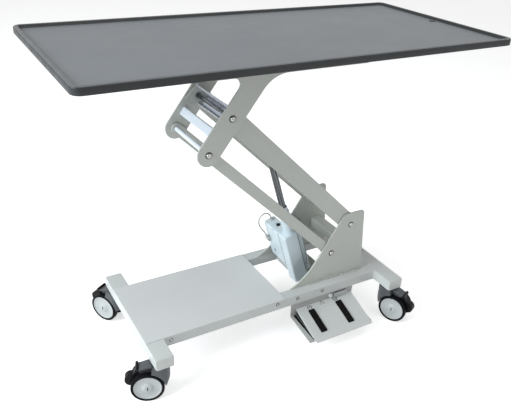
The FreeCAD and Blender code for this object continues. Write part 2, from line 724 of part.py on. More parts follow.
def pedestal(side):
    """Standing plate: a swept foot, a sloping left edge, a rounded shoulder and a leaning back edge."""
    y0 = min(side * plate_inner_y, side * PLATE_OUTER_Y)
    top = frame_top + PEDESTAL_TOP_RISE
    corners = [(PEDESTAL_TIP_X, frame_top, 0),
               (PEDESTAL_BACK_X, frame_top, 0),
               (PEDESTAL_TOP_X, top, PEDESTAL_TOP_RADIUS),
               (PEDESTAL_SHOULDER_X, top, PEDESTAL_SHOULDER_RADIUS),
               (PEDESTAL_FOOT_X, frame_top + PEDESTAL_FOOT_RISE, PEDESTAL_CURVE_RADIUS),
               (PEDESTAL_TIP_X, frame_top + PEDESTAL_TIP_RISE, 0)]
    plate = plate_xz(corners, y0, y0 + PLATE_THICKNESS)
    holes = [round_y(c, PIVOT_SCREW_RADIUS + SCREW_HOLE_CLEARANCE, y0, y0 + PLATE_THICKNESS)
             for c in (arm_lower, link_lower)]
    return plate.cut(holes)


def pedestal_crossbar():
    z0 = frame_top + CROSS_TUBE_RISE
    wall = CROSS_TUBE_WALL

    def section(inset, radius):
        x0, x1 = CROSS_TUBE_X + inset, CROSS_TUBE_X + CROSS_TUBE_WIDTH - inset
        low, high = z0 + inset, z0 + CROSS_TUBE_HEIGHT - inset
        return [(x0, low, radius), (x1, low, radius), (x1, high, radius), (x0, high, radius)]
    outer = plate_xz(section(0, 2 * wall), -plate_inner_y, plate_inner_y)
    return outer.cut(plate_xz(section(wall, wall), -plate_inner_y, plate_inner_y))


def actuator_mount():
    """Cross member between the rails with two ears that hold the lower pin of the actuator."""
    z1 = frame_top - FRAME_WALL
    z0 = z1 - MOUNT_TUBE_HEIGHT
    x0, x1 = MOUNT_TUBE_X, MOUNT_TUBE_X + MOUNT_TUBE_WIDTH
    wall = FRAME_WALL
    tube = box(x0, x1, -rail_inner_y, rail_inner_y, z0, z1)
    tube = tube.cut(box(x0 + wall, x1 - wall, -rail_inner_y, rail_inner_y, z0 + wall, z1 - wall))
    ears = []
    px, pz = actuator_pin
    for inner in (lug_ear_inner, -lug_ear_inner - EAR_THICKNESS):
        y0 = ACTUATOR_Y + inner
        corners = [(px - EAR_RADIUS, pz - EAR_RADIUS, EAR_RADIUS), (px + EAR_RADIUS, pz - EAR_RADIUS, 0),
                   (x0, z0, 0), (x0, z0 + MOUNT_TUBE_HEIGHT / 2, 0), (px + EAR_RADIUS, pz + EAR_RADIUS, 0),
                   (px - EAR_RADIUS, pz + EAR_RADIUS, EAR_RADIUS)]
        ear = plate_xz(corners, y0, y0 + EAR_THICKNESS)
        ears.append(ear.cut(round_y(actuator_pin, PIN_RADIUS + RUNNING_CLEARANCE, y0, y0 + EAR_THICKNESS)))
    return join([tube] + ears)


# Actuator ----------------------------------------------------------------------------------------


def actuator_frame():
    lean = math.degrees(math.atan2(actuator_pin[0] - rod_pin[0], rod_pin[1] - actuator_pin[1]))
    return heading_frame(actuator_pin, 90 + lean)


def actuator_direction():
    place = actuator_frame()
    return place(1, 0) - place(0, 0)


def round_along(radius, start, end):
    """Cylinder on the actuator's axis, from start to end above the lower pin."""
    return Part.makeCylinder(radius, end - start, actuator_frame()(start, 0, ACTUATOR_Y), actuator_direction())


def soft_block(low, high, right, left, y0, y1, corner, edge):
    """Block in the actuator's frame with rounded side corners and softened end edges."""
    corners = [(low, -right, corner), (high, -right, corner), (high, left, corner), (low, left, corner)]
    block = plate_xz(corners, y0, y1, actuator_frame())
    rims = [e for e in block.Edges if e.BoundBox.YLength < 1e-6]
    return block.makeChamfer(edge, rims)


def actuator_housing():
    """Gear housing with its side cover, the lug on the lower pin and the bore that the rod runs in."""
    y0 = ACTUATOR_Y - HOUSING_HALF_DEPTH
    y1 = ACTUATOR_Y + HOUSING_HALF_DEPTH
    case = soft_block(HOUSING_BOTTOM, HOUSING_TOP, HOUSING_RIGHT, HOUSING_LEFT, y0, y1, 2 * HOUSING_EDGE, HOUSING_EDGE)
    cover = soft_block(SIDE_COVER_BOTTOM, SIDE_COVER_TOP, SIDE_COVER_RIGHT, 0,
                       ACTUATOR_Y - SIDE_COVER_HALF_DEPTH, ACTUATOR_Y + SIDE_COVER_HALF_DEPTH,
                       2 * HOUSING_EDGE, HOUSING_EDGE)
    lug_low = ACTUATOR_Y - LUG_HALF_WIDTH
    lug_high = ACTUATOR_Y + LUG_HALF_WIDTH
    lug = plate_xz([(-LUG_RADIUS, -LUG_RADIUS, LUG_RADIUS), (HOUSING_BOTTOM + LUG_RADIUS, -LUG_RADIUS, 0),
                    (HOUSING_BOTTOM + LUG_RADIUS, LUG_RADIUS, 0), (-LUG_RADIUS, LUG_RADIUS, LUG_RADIUS)],
                   lug_low, lug_high, actuator_frame())
    body = join([case, cover, lug])
    bore = round_along(ROD_RADIUS + ROD_BORE_CLEARANCE, ROD_BORE_BOTTOM, HOUSING_TOP)
    return body.cut([bore, round_y(actuator_pin, PIN_RADIUS + RUNNING_CLEARANCE, lug_low, lug_high)])


def actuator_motor():
    """Motor across the back of the gear housing, with a stepped end cap."""
    middle = actuator_frame()(MOTOR_CENTRE, 0)
    centre = (middle.x, middle.z)
    start = ACTUATOR_Y + HOUSING_HALF_DEPTH
    can = round_y(centre, MOTOR_RADIUS, start, MOTOR_END_Y)
    can = can.makeChamfer(HOUSING_EDGE, [e for e in can.Edges if abs(e.BoundBox.YMin - MOTOR_END_Y) < 1e-3
                                        and e.BoundBox.YLength < 1e-3])
    return join([can, round_y(centre, MOTOR_CAP_RADIUS, MOTOR_END_Y, MOTOR_END_Y + MOTOR_CAP_HEIGHT)])


def actuator_tube():
    """Outer tube with its foot ring and the guide collar that the rod slides through."""
    body = join([round_along(TUBE_RADIUS, HOUSING_TOP, TUBE_TOP),
                 round_along(TUBE_RING_RADIUS, HOUSING_TOP, HOUSING_TOP + TUBE_RING_HEIGHT),
                 round_along(COLLAR_RADIUS, TUBE_TOP, TUBE_TOP + COLLAR_HEIGHT)])
    return body.cut(round_along(ROD_RADIUS + ROD_BORE_CLEARANCE, HOUSING_TOP, TUBE_TOP + COLLAR_HEIGHT))


def control_box():
    """Box with the electronics beside the gear housing, with a socket recess in its top."""
    body = soft_block(BOX_BOTTOM, BOX_TOP, BOX_RIGHT, HOUSING_LEFT, ACTUATOR_Y + HOUSING_HALF_DEPTH, BOX_END_Y,
                      BOX_CORNER / 2, BOX_EDGE)
    half = SOCKET_WIDTH / 2
    recess = plate_xz([(BOX_TOP - SOCKET_DEPTH, SOCKET_ALONG_X - half, 0), (BOX_TOP, SOCKET_ALONG_X - half, 0),
                       (BOX_TOP, SOCKET_ALONG_X + half, 0), (BOX_TOP - SOCKET_DEPTH, SOCKET_ALONG_X + half, 0)],
                      SOCKET_Y - SOCKET_LENGTH / 2, SOCKET_Y + SOCKET_LENGTH / 2, actuator_frame())
    return body.cut(recess)


def box_cable():
    """Cable loop: straight runs joined by tangent arcs as large as the runs allow."""
    place = actuator_frame()
    points = [place(along, left, CABLE_Y) for along, left in CABLE_ROUTE]
    edges = []
    at = points[0]
    radii = []
    for before, here, after in zip(points, points[1:], points[2:]):
        back = (before - here).normalize()
        ahead = (after - here).normalize()
        half = back.getAngle(ahead) / 2
        reach = 0.45 * min((before - here).Length, (after - here).Length)
        radius = reach * math.tan(half)
        middle = here + (back + ahead).normalize() * (radius / math.sin(half) - radius)
        edges.append(Part.LineSegment(at, here + back * reach).toShape())
        edges.append(Part.Arc(here + back * reach, middle, here + ahead * reach).toShape())
        at = here + ahead * reach
        radii.append(radius)
    edges.append(Part.LineSegment(at, points[-1]).toShape())
    path = Part.Wire(edges)
    ring = Part.Wire([Part.makeCircle(CABLE_RADIUS, points[0], points[1] - points[0])])
    tube = path.makePipeShell([ring], True, False)
    print("cable radii", [round(r, 1) for r in radii], "length", round(path.Length, 1),
          "volume ratio", round(tube.Volume / (math.pi * CABLE_RADIUS ** 2 * path.Length), 4))
    return tube


def cable_connectors():
    """Gland on the box top, and the connector with its seat on the box's left face."""
    place = actuator_frame()
    along, left = CABLE_ROUTE[0]
    gland = Part.makeCylinder(GLAND_RADIUS, GLAND_HEIGHT, place(along - GLAND_HEIGHT, left, CABLE_Y),
                              actuator_direction())
    end_along, end_left = CABLE_ROUTE[-1]
    before_along, before_left = CABLE_ROUTE[-2]
    incoming = place(end_along, end_left, CABLE_Y) - place(before_along, before_left, CABLE_Y)
    plug = Part.makeCylinder(CONNECTOR_RADIUS, CONNECTOR_LENGTH, place(end_along, end_left, CABLE_Y), incoming)
    half = CONNECTOR_SEAT_WIDTH / 2
    seat_top = end_along - CONNECTOR_LENGTH + CONNECTOR_SEAT_HEIGHT / 2
    seat = plate_xz([(seat_top - CONNECTOR_SEAT_HEIGHT, HOUSING_LEFT, 0), (seat_top, HOUSING_LEFT, 0),
                     (seat_top, end_left + GLAND_RADIUS, 3), (seat_top - CONNECTOR_SEAT_HEIGHT, end_left, 3)],
                    CABLE_Y - half, CABLE_Y + half, place)
    return group([gland, join([plug, seat])])


def actuator_rod():
    return round_along(ROD_RADIUS, ROD_FOOT, actuator_length - ROD_EYE_RADIUS - ROD_NECK_LENGTH / 2)


def rod_eye():
    """Eye on the end of the rod: a ring round the pin with a neck down to the rod."""
    y0 = ACTUATOR_Y - ROD_EYE_HALF_WIDTH
    y1 = ACTUATOR_Y + ROD_EYE_HALF_WIDTH
    ring = round_y(rod_pin, ROD_EYE_RADIUS, y0, y1)
    neck_start = actuator_length - ROD_EYE_RADIUS - ROD_NECK_LENGTH / 2
    neck = round_along(ROD_NECK_RADIUS, neck_start, actuator_length - ROD_EYE_RADIUS / 2)
    return join([ring, neck]).cut(round_y(rod_pin, PIN_RADIUS + ROD_EYE_CLEARANCE, y0, y1))


# Foot switch -------------------------------------------------------------------------------------


def plate_z(y):
    """Top of the lower plate at y (negative towards the front)."""
    return rail_bottom - FOOT_FLANGE_DROP + (y + FOOT_FLANGE_OUTER_Y) * FOOT_LOWER_FALL / FOOT_LOWER_REACH


def cover_z(y):
    """Top of the cover at y (negative towards the front)."""
    return rail_bottom - COVER_BELOW_RAIL + (y + COVER_REAR_Y) * COVER_FALL / COVER_REACH


def foot_switch_bracket():
    """Folded sheet: a flange under the rail, a hanging web and a lower plate, with a small guard."""
    y_web = -FOOT_FLANGE_OUTER_Y
    t = FOOT_SHEET
    front_y = y_web - FOOT_LOWER_REACH
    corners = [(y_web + FOOT_TOP_FLANGE, rail_bottom, 0), (y_web, rail_bottom, 0), (y_web, plate_z(y_web), 0),
               (front_y, plate_z(front_y), 0), (front_y, plate_z(front_y) - t, 0),
               (y_web + t, plate_z(y_web) - t, 2 * t), (y_web + t, rail_bottom - t, 0),
               (y_web + FOOT_TOP_FLANGE, rail_bottom - t, 0)]
    sheet = plate_yz(corners, FOOT_LEFT_X, FOOT_RIGHT_X)
    guard_y = y_web - GUARD_LIP
    guard = box(GUARD_LEFT_X, GUARD_RIGHT_X, guard_y, y_web, rail_bottom - GUARD_DROP, rail_bottom - GUARD_LIP)
    guard = guard.cut(box(GUARD_LEFT_X + t, GUARD_RIGHT_X - t, guard_y + t, y_web,
                          rail_bottom - GUARD_DROP, rail_bottom - GUARD_LIP))
    return join([sheet, guard])


def cover_slab(y0, y1, above, below, x0, x1):
    """Slab along the cover's slope, from above its top to below it."""
    corners = [(y0, cover_z(y0) - below, 0), (y1, cover_z(y1) - below, 0), (y1, cover_z(y1) + above, 0),
               (y0, cover_z(y0) + above, 0)]
    return plate_yz(corners, x0, x1)


def foot_switch_cover():
    """Sloped sheet with a slot for each tread, turned-down edges on the lower plate and two rear posts."""
    rear = -COVER_REAR_Y
    front = rear - COVER_REACH
    sheet = cover_slab(front, rear, 0, COVER_SHEET, COVER_LEFT_X, COVER_RIGHT_X)
    lip_rear = -FOOT_FLANGE_OUTER_Y - FOOT_LOWER_REACH + COVER_SHEET
    lip_front = lip_rear - COVER_SHEET
    lip = plate_yz([(lip_front, plate_z(lip_front), 0), (lip_rear, plate_z(lip_rear), 0),
                    (lip_rear, cover_z(lip_rear) - COVER_SHEET / 2, 0),
                    (lip_front, cover_z(lip_front) - COVER_SHEET / 2, 0)], COVER_LEFT_X, COVER_RIGHT_X)
    posts = []
    post_y = rear - 2 * COVER_POST_RADIUS
    below = plate_yz([(rear, plate_z(rear), 0), (front, plate_z(front), 0), (front, 0, 0), (rear, 0, 0)],
                     COVER_LEFT_X, COVER_RIGHT_X)
    for x in (COVER_LEFT_X + 3 * COVER_POST_RADIUS, COVER_RIGHT_X - 3 * COVER_POST_RADIUS):
        column = round_z(x, post_y, COVER_POST_RADIUS, plate_z(front), cover_z(post_y) - COVER_SHEET / 2)
        posts.append(column.cut(below))
    edges = [cover_slab(front, rear, 0, COVER_SIDE_LIP, x, x + COVER_SHEET).cut(below)
             for x in (COVER_LEFT_X, COVER_RIGHT_X - COVER_SHEET)]
    body = join([sheet, lip] + edges + posts)
    slots = []
    for x in TREAD_CENTRES:
        half = TREAD_WIDTH / 2 + COVER_SLOT_CLEARANCE
        y1 = rear - TREAD_START + COVER_SLOT_CLEARANCE
        y0 = rear - TREAD_START - TREAD_LENGTH - COVER_SLOT_CLEARANCE
        slots.append(cover_slab(y0, y1, COVER_SHEET, 2 * COVER_SHEET, x - half, x + half))
    return body.cut(slots)


def tread_pin_centre():
    y = -COVER_REAR_Y - TREAD_START + TREAD_PIN_BACK
    return y, cover_z(y) - TREAD_PIN_BELOW


def tread(x):
    """Rubber-faced tread: a ribbed bar through its slot, hinged on the pin under its rear end."""
    y1 = -COVER_REAR_Y - TREAD_START
    y0 = y1 - TREAD_LENGTH
    half = TREAD_WIDTH / 2
    bar_body = cover_slab(y0, y1, TREAD_PROUD, COVER_SHEET, x - half, x + half)
    pin_y, pin_z = tread_pin_centre()
    hub = Part.makeCylinder(TREAD_HUB_RADIUS, TREAD_WIDTH, point(x - half, pin_y, pin_z), point(1, 0, 0))
    neck = plate_yz([(pin_y - TREAD_HUB_RADIUS, pin_z, 0), (pin_y + TREAD_HUB_RADIUS, pin_z, 0),
                     (y1, cover_z(y1) - COVER_SHEET, 0), (y1 - 2 * TREAD_HUB_RADIUS, cover_z(y1) - COVER_SHEET, 0)],
                    x - half, x + half)
    bore = Part.makeCylinder(TREAD_PIN_RADIUS + RUNNING_CLEARANCE, TREAD_WIDTH, point(x - half, pin_y, pin_z),
                             point(1, 0, 0))
    return join([bar_body, hub, neck]).cut(bore)


def tread_pivot_pin():
    """Pin through both treads, held at its ends by two uprights on the lower plate."""
    pin_y, pin_z = tread_pin_centre()
    x0 = COVER_LEFT_X + 6 * COVER_POST_RADIUS
    x1 = COVER_RIGHT_X - 6 * COVER_POST_RADIUS
    pin = Part.makeCylinder(TREAD_PIN_RADIUS, x1 - x0, point(x0, pin_y, pin_z), point(1, 0, 0))
    top = pin_z + UPRIGHT_ABOVE_PIN
    front, rear = pin_y - TREAD_HUB_RADIUS, pin_y + TREAD_HUB_RADIUS
    uprights = []
    for x in (x0, x1 - FOOT_SHEET):
        uprights.append(plate_yz([(front, plate_z(front), 0), (rear, plate_z(rear), 0), (rear, top, 0),
                                  (front, top, 0)], x, x + FOOT_SHEET))
    return join([pin] + uprights)


def foot_microswitches():
    """A switch block under each tread, standing on the lower plate."""
    y1 = -COVER_REAR_Y - SWITCH_FROM_REAR
    y0 = y1 - SWITCH_LENGTH
    blocks = []
    for x in TREAD_CENTRES:
        z0, z1 = plate_z(y0), plate_z(y1)
        blocks.append(plate_yz([(y0, z0, 0), (y1, z1, 0), (y1, z1 + SWITCH_HEIGHT, 1), (y0, z0 + SWITCH_HEIGHT, 1)],
                               x - SWITCH_WIDTH / 2, x + SWITCH_WIDTH / 2))
    return group(blocks)


def foot_cable_gland():
    """Gland in the hanging web, where the switch cable goes in under the rail."""
    z = rail_bottom - FOOT_GLAND_BELOW_RAIL
    y = -FOOT_FLANGE_OUTER_Y
    nut = Part.makeCylinder(FOOT_GLAND_RADIUS, FOOT_GLAND_LENGTH / 2, point(FOOT_GLAND_X, y, z), point(0, -1, 0))
    nose = Part.makeCone(FOOT_GLAND_RADIUS, FOOT_GLAND_RADIUS / 2, FOOT_GLAND_LENGTH / 2,
                         point(FOOT_GLAND_X, y - FOOT_GLAND_LENGTH / 2, z), point(0, -1, 0))
    return join([nut, nose])


# Casters, each built trailing along +X with its stem on the Z axis ---------------------------------


def wheel_ring(profile):
    """Ring turned round the axle from (distance from the caster's middle plane, radius) points."""
    corners = [point(CASTER_TRAIL, y, WHEEL_RADIUS + r) for y, r in profile]
    face = Part.Face(Part.makePolygon(corners + corners[:1]))
    return face.revolve(point(CASTER_TRAIL, 0, WHEEL_RADIUS), point(0, 1, 0), 360)


def caster_tyres():
    """Two tyres with bevelled shoulders."""
    inner = CASTER_HALF_WIDTH - TYRE_WIDTH
    outer = CASTER_HALF_WIDTH
    bead = WHEEL_RADIUS - TYRE_DEPTH
    shoulder = WHEEL_RADIUS - TYRE_SHOULDER
    profile = [(inner, bead), (inner, shoulder), (inner + TYRE_SHOULDER, WHEEL_RADIUS),
               (outer - TYRE_SHOULDER, WHEEL_RADIUS), (outer, shoulder), (outer, bead)]
    return group([wheel_ring([(side * y, r) for y, r in profile]) for side in (-1, 1)])


def caster_wheels():
    """Two dished discs with raised hub cones, pressed on the ends of the axle between them."""
    inner = CASTER_HALF_WIDTH - TYRE_WIDTH
    outer = CASTER_HALF_WIDTH
    dish = outer - DISC_DISH
    bead = WHEEL_RADIUS - TYRE_DEPTH
    hub = dish + HUB_CONE_HEIGHT
    profile = [(inner, 0), (inner, bead), (outer, bead), (dish, bead - DISC_RIM), (dish, HUB_CONE_RADIUS),
               (hub, HUB_CAP_RADIUS), (hub, 0)]
    discs = [wheel_ring([(side * y, r) for y, r in profile]) for side in (-1, 1)]
    axle = round_y((CASTER_TRAIL, WHEEL_RADIUS), AXLE_RADIUS, -inner, inner)
    return group(discs + [axle])


def caster_hood():
    """Hood over the twin wheels: rounded nose under the stem, a spine between the wheels, and the stem."""
    top = caster_height - HOOD_TOP_GAP
    bottom = WHEEL_RADIUS + HOOD_BOTTOM_ABOVE_AXLE
    half = CASTER_HALF_WIDTH
    axle = (CASTER_TRAIL, WHEEL_RADIUS)
    chin_x = -HOOD_FRONT + HOOD_CHIN_BACK
    side_view = plate_xz([(chin_x, bottom, 0), (CASTER_TRAIL, bottom, 0), (HOOD_BACK, top, 0),
                          (-HOOD_FRONT, top, HOOD_EDGE), (-HOOD_FRONT, bottom + HOOD_CHIN_RISE, HOOD_EDGE)],
                         -half, half)
    plan_view = plate_xy([(-HOOD_FRONT, -half, HOOD_NOSE), (CASTER_TRAIL, -half, 0), (CASTER_TRAIL, half, 0),
                          (-HOOD_FRONT, half, HOOD_NOSE)], 0, caster_height)
    shell = side_view.common(plan_view).cut(round_y(axle, WHEEL_RADIUS + HOOD_CLEARANCE, -half, half))
    spine_top = top - HOOD_TOP_GAP
    seat_x, seat_z = pedal_pivot()
    seat_x -= SPINE_SEAT_COVER
    spine = plate_xz([(-SPINE_FRONT, bottom, 0), (CASTER_TRAIL - AXLE_BOSS_RADIUS, WHEEL_RADIUS, 0),
                      (CASTER_TRAIL + AXLE_BOSS_RADIUS, WHEEL_RADIUS, 0), (seat_x, seat_z - SPINE_SEAT_HEIGHT, 0),
                      (seat_x, seat_z + SPINE_SEAT_HEIGHT / 2, 0), (SPINE_BACK, spine_top, 0),
                      (-SPINE_FRONT, spine_top, 0)], -SPINE_HALF_WIDTH, SPINE_HALF_WIDTH)
    boss = round_y(axle, AXLE_BOSS_RADIUS, -SPINE_HALF_WIDTH, SPINE_HALF_WIDTH)
    collar = round_z(0, 0, STEM_COLLAR_RADIUS, top, caster_height)
    stem = round_z(0, 0, STEM_RADIUS, top, caster_height + STEM_HEIGHT)
    body = join([shell, spine, boss, collar, stem])
    bore = round_y(axle, AXLE_RADIUS + RUNNING_CLEARANCE, -SPINE_HALF_WIDTH, SPINE_HALF_WIDTH)
    seat = round_y(pedal_pivot(), PEDAL_HUB_RADIUS + PEDAL_SEAT_CLEARANCE, -SPINE_HALF_WIDTH, SPINE_HALF_WIDTH)
    return body.cut([bore, seat])


def pedal_pivot():
    return PEDAL_PIVOT_BACK, 2 * WHEEL_RADIUS + PEDAL_PIVOT_ABOVE_WHEEL


def brake_pedal():
    """Rocking brake pedal: a hub in the hood's seat, a web and a round pad between the wheels, and a tab.

    The tab is a cap on the flat top of the web, wider than the gap between the wheels.
    """
    half = PEDAL_HALF_WIDTH
    px, pz = pedal_pivot()
    tab_top = caster_height - PEDAL_TAB_BELOW_BAR
    tab_bottom = tab_top - PEDAL_TAB_HEIGHT
    tab_front = PEDAL_TAB_REACH - PEDAL_TAB_THICKNESS
    lobe_x = PEDAL_LOBE_BACK
    lobe_z = WHEEL_RADIUS + PEDAL_LOBE_ABOVE_AXLE
    hub = round_y((px, pz), PEDAL_HUB_RADIUS, -half, half)
    pad = round_y((lobe_x, lobe_z), PEDAL_LOBE_RADIUS, -half, half)
    web = plate_xz([(px, pz - PEDAL_HUB_RADIUS, 0), (lobe_x - PEDAL_LOBE_RADIUS / 2, lobe_z, 0),
                    (lobe_x + PEDAL_LOBE_RADIUS / 2, lobe_z + PEDAL_LOBE_RADIUS / 2, 0),
                    (PEDAL_TAB_REACH, tab_bottom, 0), (tab_front, tab_bottom, 0), (px, pz + PEDAL_HUB_RADIUS, 0)],
                   -half, half)
    wide = PEDAL_TAB_HALF_WIDTH
    tab = box(tab_front, PEDAL_TAB_REACH, -wide, wide, tab_bottom, tab_top)
    tab = tab.makeFillet(PEDAL_TAB_THICKNESS, top_corners(tab, tab_top))
    return group([join([hub, pad, web]), tab])


def top_corners(shape, top):
    """The two X edges of a block at its top."""
    return [e for e in edges_along(shape, point(1, 0, 0)) if abs(e.BoundBox.ZMax - top) < 1e-6]


def set_caster(shape, spot, heading):
    placed = shape.copy()
    placed.rotate(point(0, 0, 0), point(0, 0, 1), heading)
    placed.translate(point(spot[0], spot[1], 0))
    return placed


def build():
    nodes = {
        "tray_top": tray_top(), "top_frame": top_frame(), "front_bracket": bracket(-1), "rear_bracket": bracket(1),
        "bracket_tie": bracket_tie(), "arm_upper_shaft": shaft(arm_upper, ARM_UPPER_SHAFT_RADIUS),
        "link_upper_shaft": shaft(link_upper, LINK_UPPER_SHAFT_RADIUS),
        "top_screws": group(pivot_screws([arm_upper, link_upper])),
        "front_arm": lift_arm(-1), "rear_arm": lift_arm(1), "arm_bushes": arm_bushes(),
        "arm_torsion_tube": arm_torsion_tube(), "arm_channel": arm_channel(), "rod_mount": rod_mount(),
        "rod_pin": headed_pin(rod_pin, ear_inner),
        "front_link": lower_link(-1), "rear_link": lower_link(1), "link_bushes": link_bushes(),
        "base_frame": base_frame(), "base_deck": base_deck(), "crossbar_end_caps": crossbar_end_caps(),
        "front_pedestal": pedestal(-1), "rear_pedestal": pedestal(1), "pedestal_crossbar": pedestal_crossbar(),
        "arm_lower_shaft": shaft(arm_lower, ARM_LOWER_SHAFT_RADIUS),
        "link_lower_shaft": shaft(link_lower, LINK_LOWER_SHAFT_RADIUS),
        "base_screws": group(pivot_screws([arm_lower, link_lower])),
        "actuator_mount": actuator_mount(), "actuator_pin": headed_pin(actuator_pin, lug_ear_inner),
        "actuator_housing": actuator_housing(), "actuator_motor": actuator_motor(), "actuator_tube": actuator_tube(),
        "control_box": control_box(), "box_cable": box_cable(), "cable_connectors": cable_connectors(),
        "actuator_rod": actuator_rod(), "rod_eye": rod_eye(),
        "foot_switch_bracket": foot_switch_bracket(), "foot_switch_cover": foot_switch_cover(),
        "tread_pivot_pin": tread_pivot_pin(), "foot_microswitches": foot_microswitches(),
        "foot_cable_gland": foot_cable_gland(),
        "raise_tread": tread(TREAD_CENTRES[0]), "lower_tread": tread(TREAD_CENTRES[1])}
    makers = {"hood": caster_hood(), "wheels": caster_wheels(), "tyres": caster_tyres(), "pedal": brake_pedal()}
    for name, spot in caster_spots().items():
        for piece, shape in makers.items():
            nodes[name + "_caster_" + piece] = set_caster(shape, spot, CASTER_HEADINGS[name])
    return nodes


os.makedirs("parts", exist_ok=True)
for node, solid in build().items():
    solid.exportStep("parts/" + node + ".step")
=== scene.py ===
import json
import math

import bmesh
import bpy
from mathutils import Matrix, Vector

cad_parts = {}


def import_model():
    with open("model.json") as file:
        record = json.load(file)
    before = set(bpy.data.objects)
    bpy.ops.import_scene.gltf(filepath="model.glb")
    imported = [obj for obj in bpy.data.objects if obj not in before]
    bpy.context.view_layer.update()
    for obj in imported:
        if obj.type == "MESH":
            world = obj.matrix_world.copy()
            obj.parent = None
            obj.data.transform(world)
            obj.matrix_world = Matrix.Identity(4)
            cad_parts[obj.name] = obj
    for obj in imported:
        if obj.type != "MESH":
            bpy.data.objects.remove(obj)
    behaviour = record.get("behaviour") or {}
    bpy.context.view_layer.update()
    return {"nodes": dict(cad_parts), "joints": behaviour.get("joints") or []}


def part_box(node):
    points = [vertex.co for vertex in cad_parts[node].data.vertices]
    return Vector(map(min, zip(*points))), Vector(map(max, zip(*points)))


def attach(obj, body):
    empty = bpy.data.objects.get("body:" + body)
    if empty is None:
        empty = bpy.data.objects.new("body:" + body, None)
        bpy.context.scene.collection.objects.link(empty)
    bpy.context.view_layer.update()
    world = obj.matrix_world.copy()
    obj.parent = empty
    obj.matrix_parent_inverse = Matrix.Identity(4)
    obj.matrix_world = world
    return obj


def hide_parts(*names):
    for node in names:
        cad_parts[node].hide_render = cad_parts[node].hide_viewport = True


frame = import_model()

nodes = frame["nodes"]
joints = {joint["name"]: joint for joint in frame["joints"]}
bpy.context.scene.view_settings.view_transform = "Standard"

# Sizes in millimetres, from the frame -------------------------------------------------------------

MM_PER_M = 1000.0


def in_mm(point):
    """A place from the frame in millimetres, to the last digit used in the part's source."""
    return tuple(round(c * MM_PER_M, 3) for c in point)


def joint_place(name):
    """A joint's place at rest."""
    return in_mm(joints[name]["pos_m"])


def node_box(name):
    """A node's lowest and highest corners at rest."""
    return [in_mm(corner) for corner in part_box(name)]


def xz(point):
    return point[0], point[2]


def turned(across, up, digits):
    """Angle in radians of the line (across, up), rounded to so many digits of a degree."""
    return math.radians(round(math.degrees(math.atan2(up, across)), digits))


TOP_HALF_X, TOP_HALF_Y, TOP_Z = node_box("tray_top")[1]
FRAME_TOP = node_box("base_frame")[1][2]
PLATE_Y = -node_box("front_pedestal")[0][1]
ARM_LOWER, ARM_UPPER = xz(joint_place("lift")), xz(joint_place("top_level"))
LINK_LOWER = xz(joint_place("link_swing"))
# The lift is a parallelogram, so its fourth corner follows from the other three
LINK_UPPER = tuple(up + low - arm for up, low, arm in zip(ARM_UPPER, LINK_LOWER, ARM_LOWER))
ACTUATOR_PIN = xz(joint_place("actuator_swing"))
HOUSING_FRONT = node_box("actuator_housing")[0][1]
(COVER_LEFT, COVER_FRONT_Y, COVER_LOW), (_, COVER_REAR_Y, COVER_TOP) = node_box("foot_switch_cover")
TREAD_CENTRES = tuple(joint_place(name)[0] for name in ("raise_press", "lower_press"))

# Sizes in millimetres, as in the part's source ----------------------------------------------------

RIM_RISE, DECK_THICKNESS, TRAY_CORNER = 8.0, 5.0, 24.0
DECK_Z = TOP_Z - RIM_RISE
DECK_UNDER_Z = DECK_Z - DECK_THICKNESS
DRAIN_X, DRAIN_Y, DRAIN_RADIUS = 614.0, 0.0, 9.0
PLATE_THICKNESS, RAIL_Y = 5.0, 149.5
# Gear housing and control box, in the actuator's own frame
SIDE_COVER_STEP, HOUSING_LEFT, HOUSING_TOP, BOX_TOP = 5.0, 32.0, 227.0, 226.0
SIDE_COVER_FRONT = HOUSING_FRONT + SIDE_COVER_STEP
CASTERS = ("front_left", "front_right", "rear_left", "rear_right")
TRAIL, WHEEL_RADIUS, WHEEL_OUTER, WHEEL_INNER = 40.0, 50.0, 33.0, 14.0
COVER_THICKNESS = 2.5
COVER_SLOPE = (COVER_TOP - COVER_THICKNESS - COVER_LOW) / (COVER_REAR_Y - COVER_FRONT_Y)
TREAD_HALF, TREAD_PROUD = 11.0, 3.5
GUARD_X, GUARD_FACE_Y, GUARD_Z = (218.0, 272.0), -153.9, (108.0, 120.0)

# Sizes of what only the scene has, in millimetres -------------------------------------------------

# (Inset from the outer edge, height) round the tray's rim, from its underside over its top
RIM_PROFILE = ((9.0, DECK_UNDER_Z), (9.0, TOP_Z - 19.6), (8.4, TOP_Z - 20.0), (2.0, TOP_Z - 20.0),
               (0.7, TOP_Z - 19.3), (0.0, TOP_Z - 18.0), (0.0, TOP_Z - 5.0), (0.35, TOP_Z - 3.0),
               (1.3, TOP_Z - 1.3), (3.0, TOP_Z - 0.35), (5.0, TOP_Z), (10.5, TOP_Z),
               (12.2, TOP_Z - 0.5), (13.6, TOP_Z - 2.0), (16.0, DECK_Z + 1.2),
               (17.0, DECK_Z + 0.35), (18.4, DECK_Z))
RIM_LEAST_CORNER, RIM_CORNER_STEPS = 9.0, 10
# Where the rim's top is: its reach down from the highest point, and its two insets. The top gets a
# lighter copy of the rim's material as painted highlight, and the slope inward of it a near-black
# copy as painted shade
RIM_TOP_DEPTH, RIM_TOP_FROM, RIM_TOP_TO = 3.5, 1.0, 11.0
DRAIN_FLARE_RADIUS, DRAIN_STEPS = 12.0, 40

# (Head radius, head height, socket's corner radius) and the radius of the near-black ring under the
# head, a painted shadow round it
SHAFT_SCREW, SHAFT_SHADOW_RING = (8.2, 5.8, 1.5), 10.4
RAIL_SCREW, RAIL_SHADOW_RING = (4.4, 2.2, 1.6), 6.2
FRAME_SCREW, FRAME_SHADOW_RING = (4.4, 2.0, 1.6), 5.6
# (x, z) of the screws in each rail's side, and the place of the two in the frame's top
RAIL_SCREWS = ((-391.0, 147.5), (-14.0, 150.5), (65.0, 149.0), (166.0, 149.0))
FRAME_SCREW_X, FRAME_SCREW_Y = 441.0, 19.0

WELD_RADIUS = 4.4
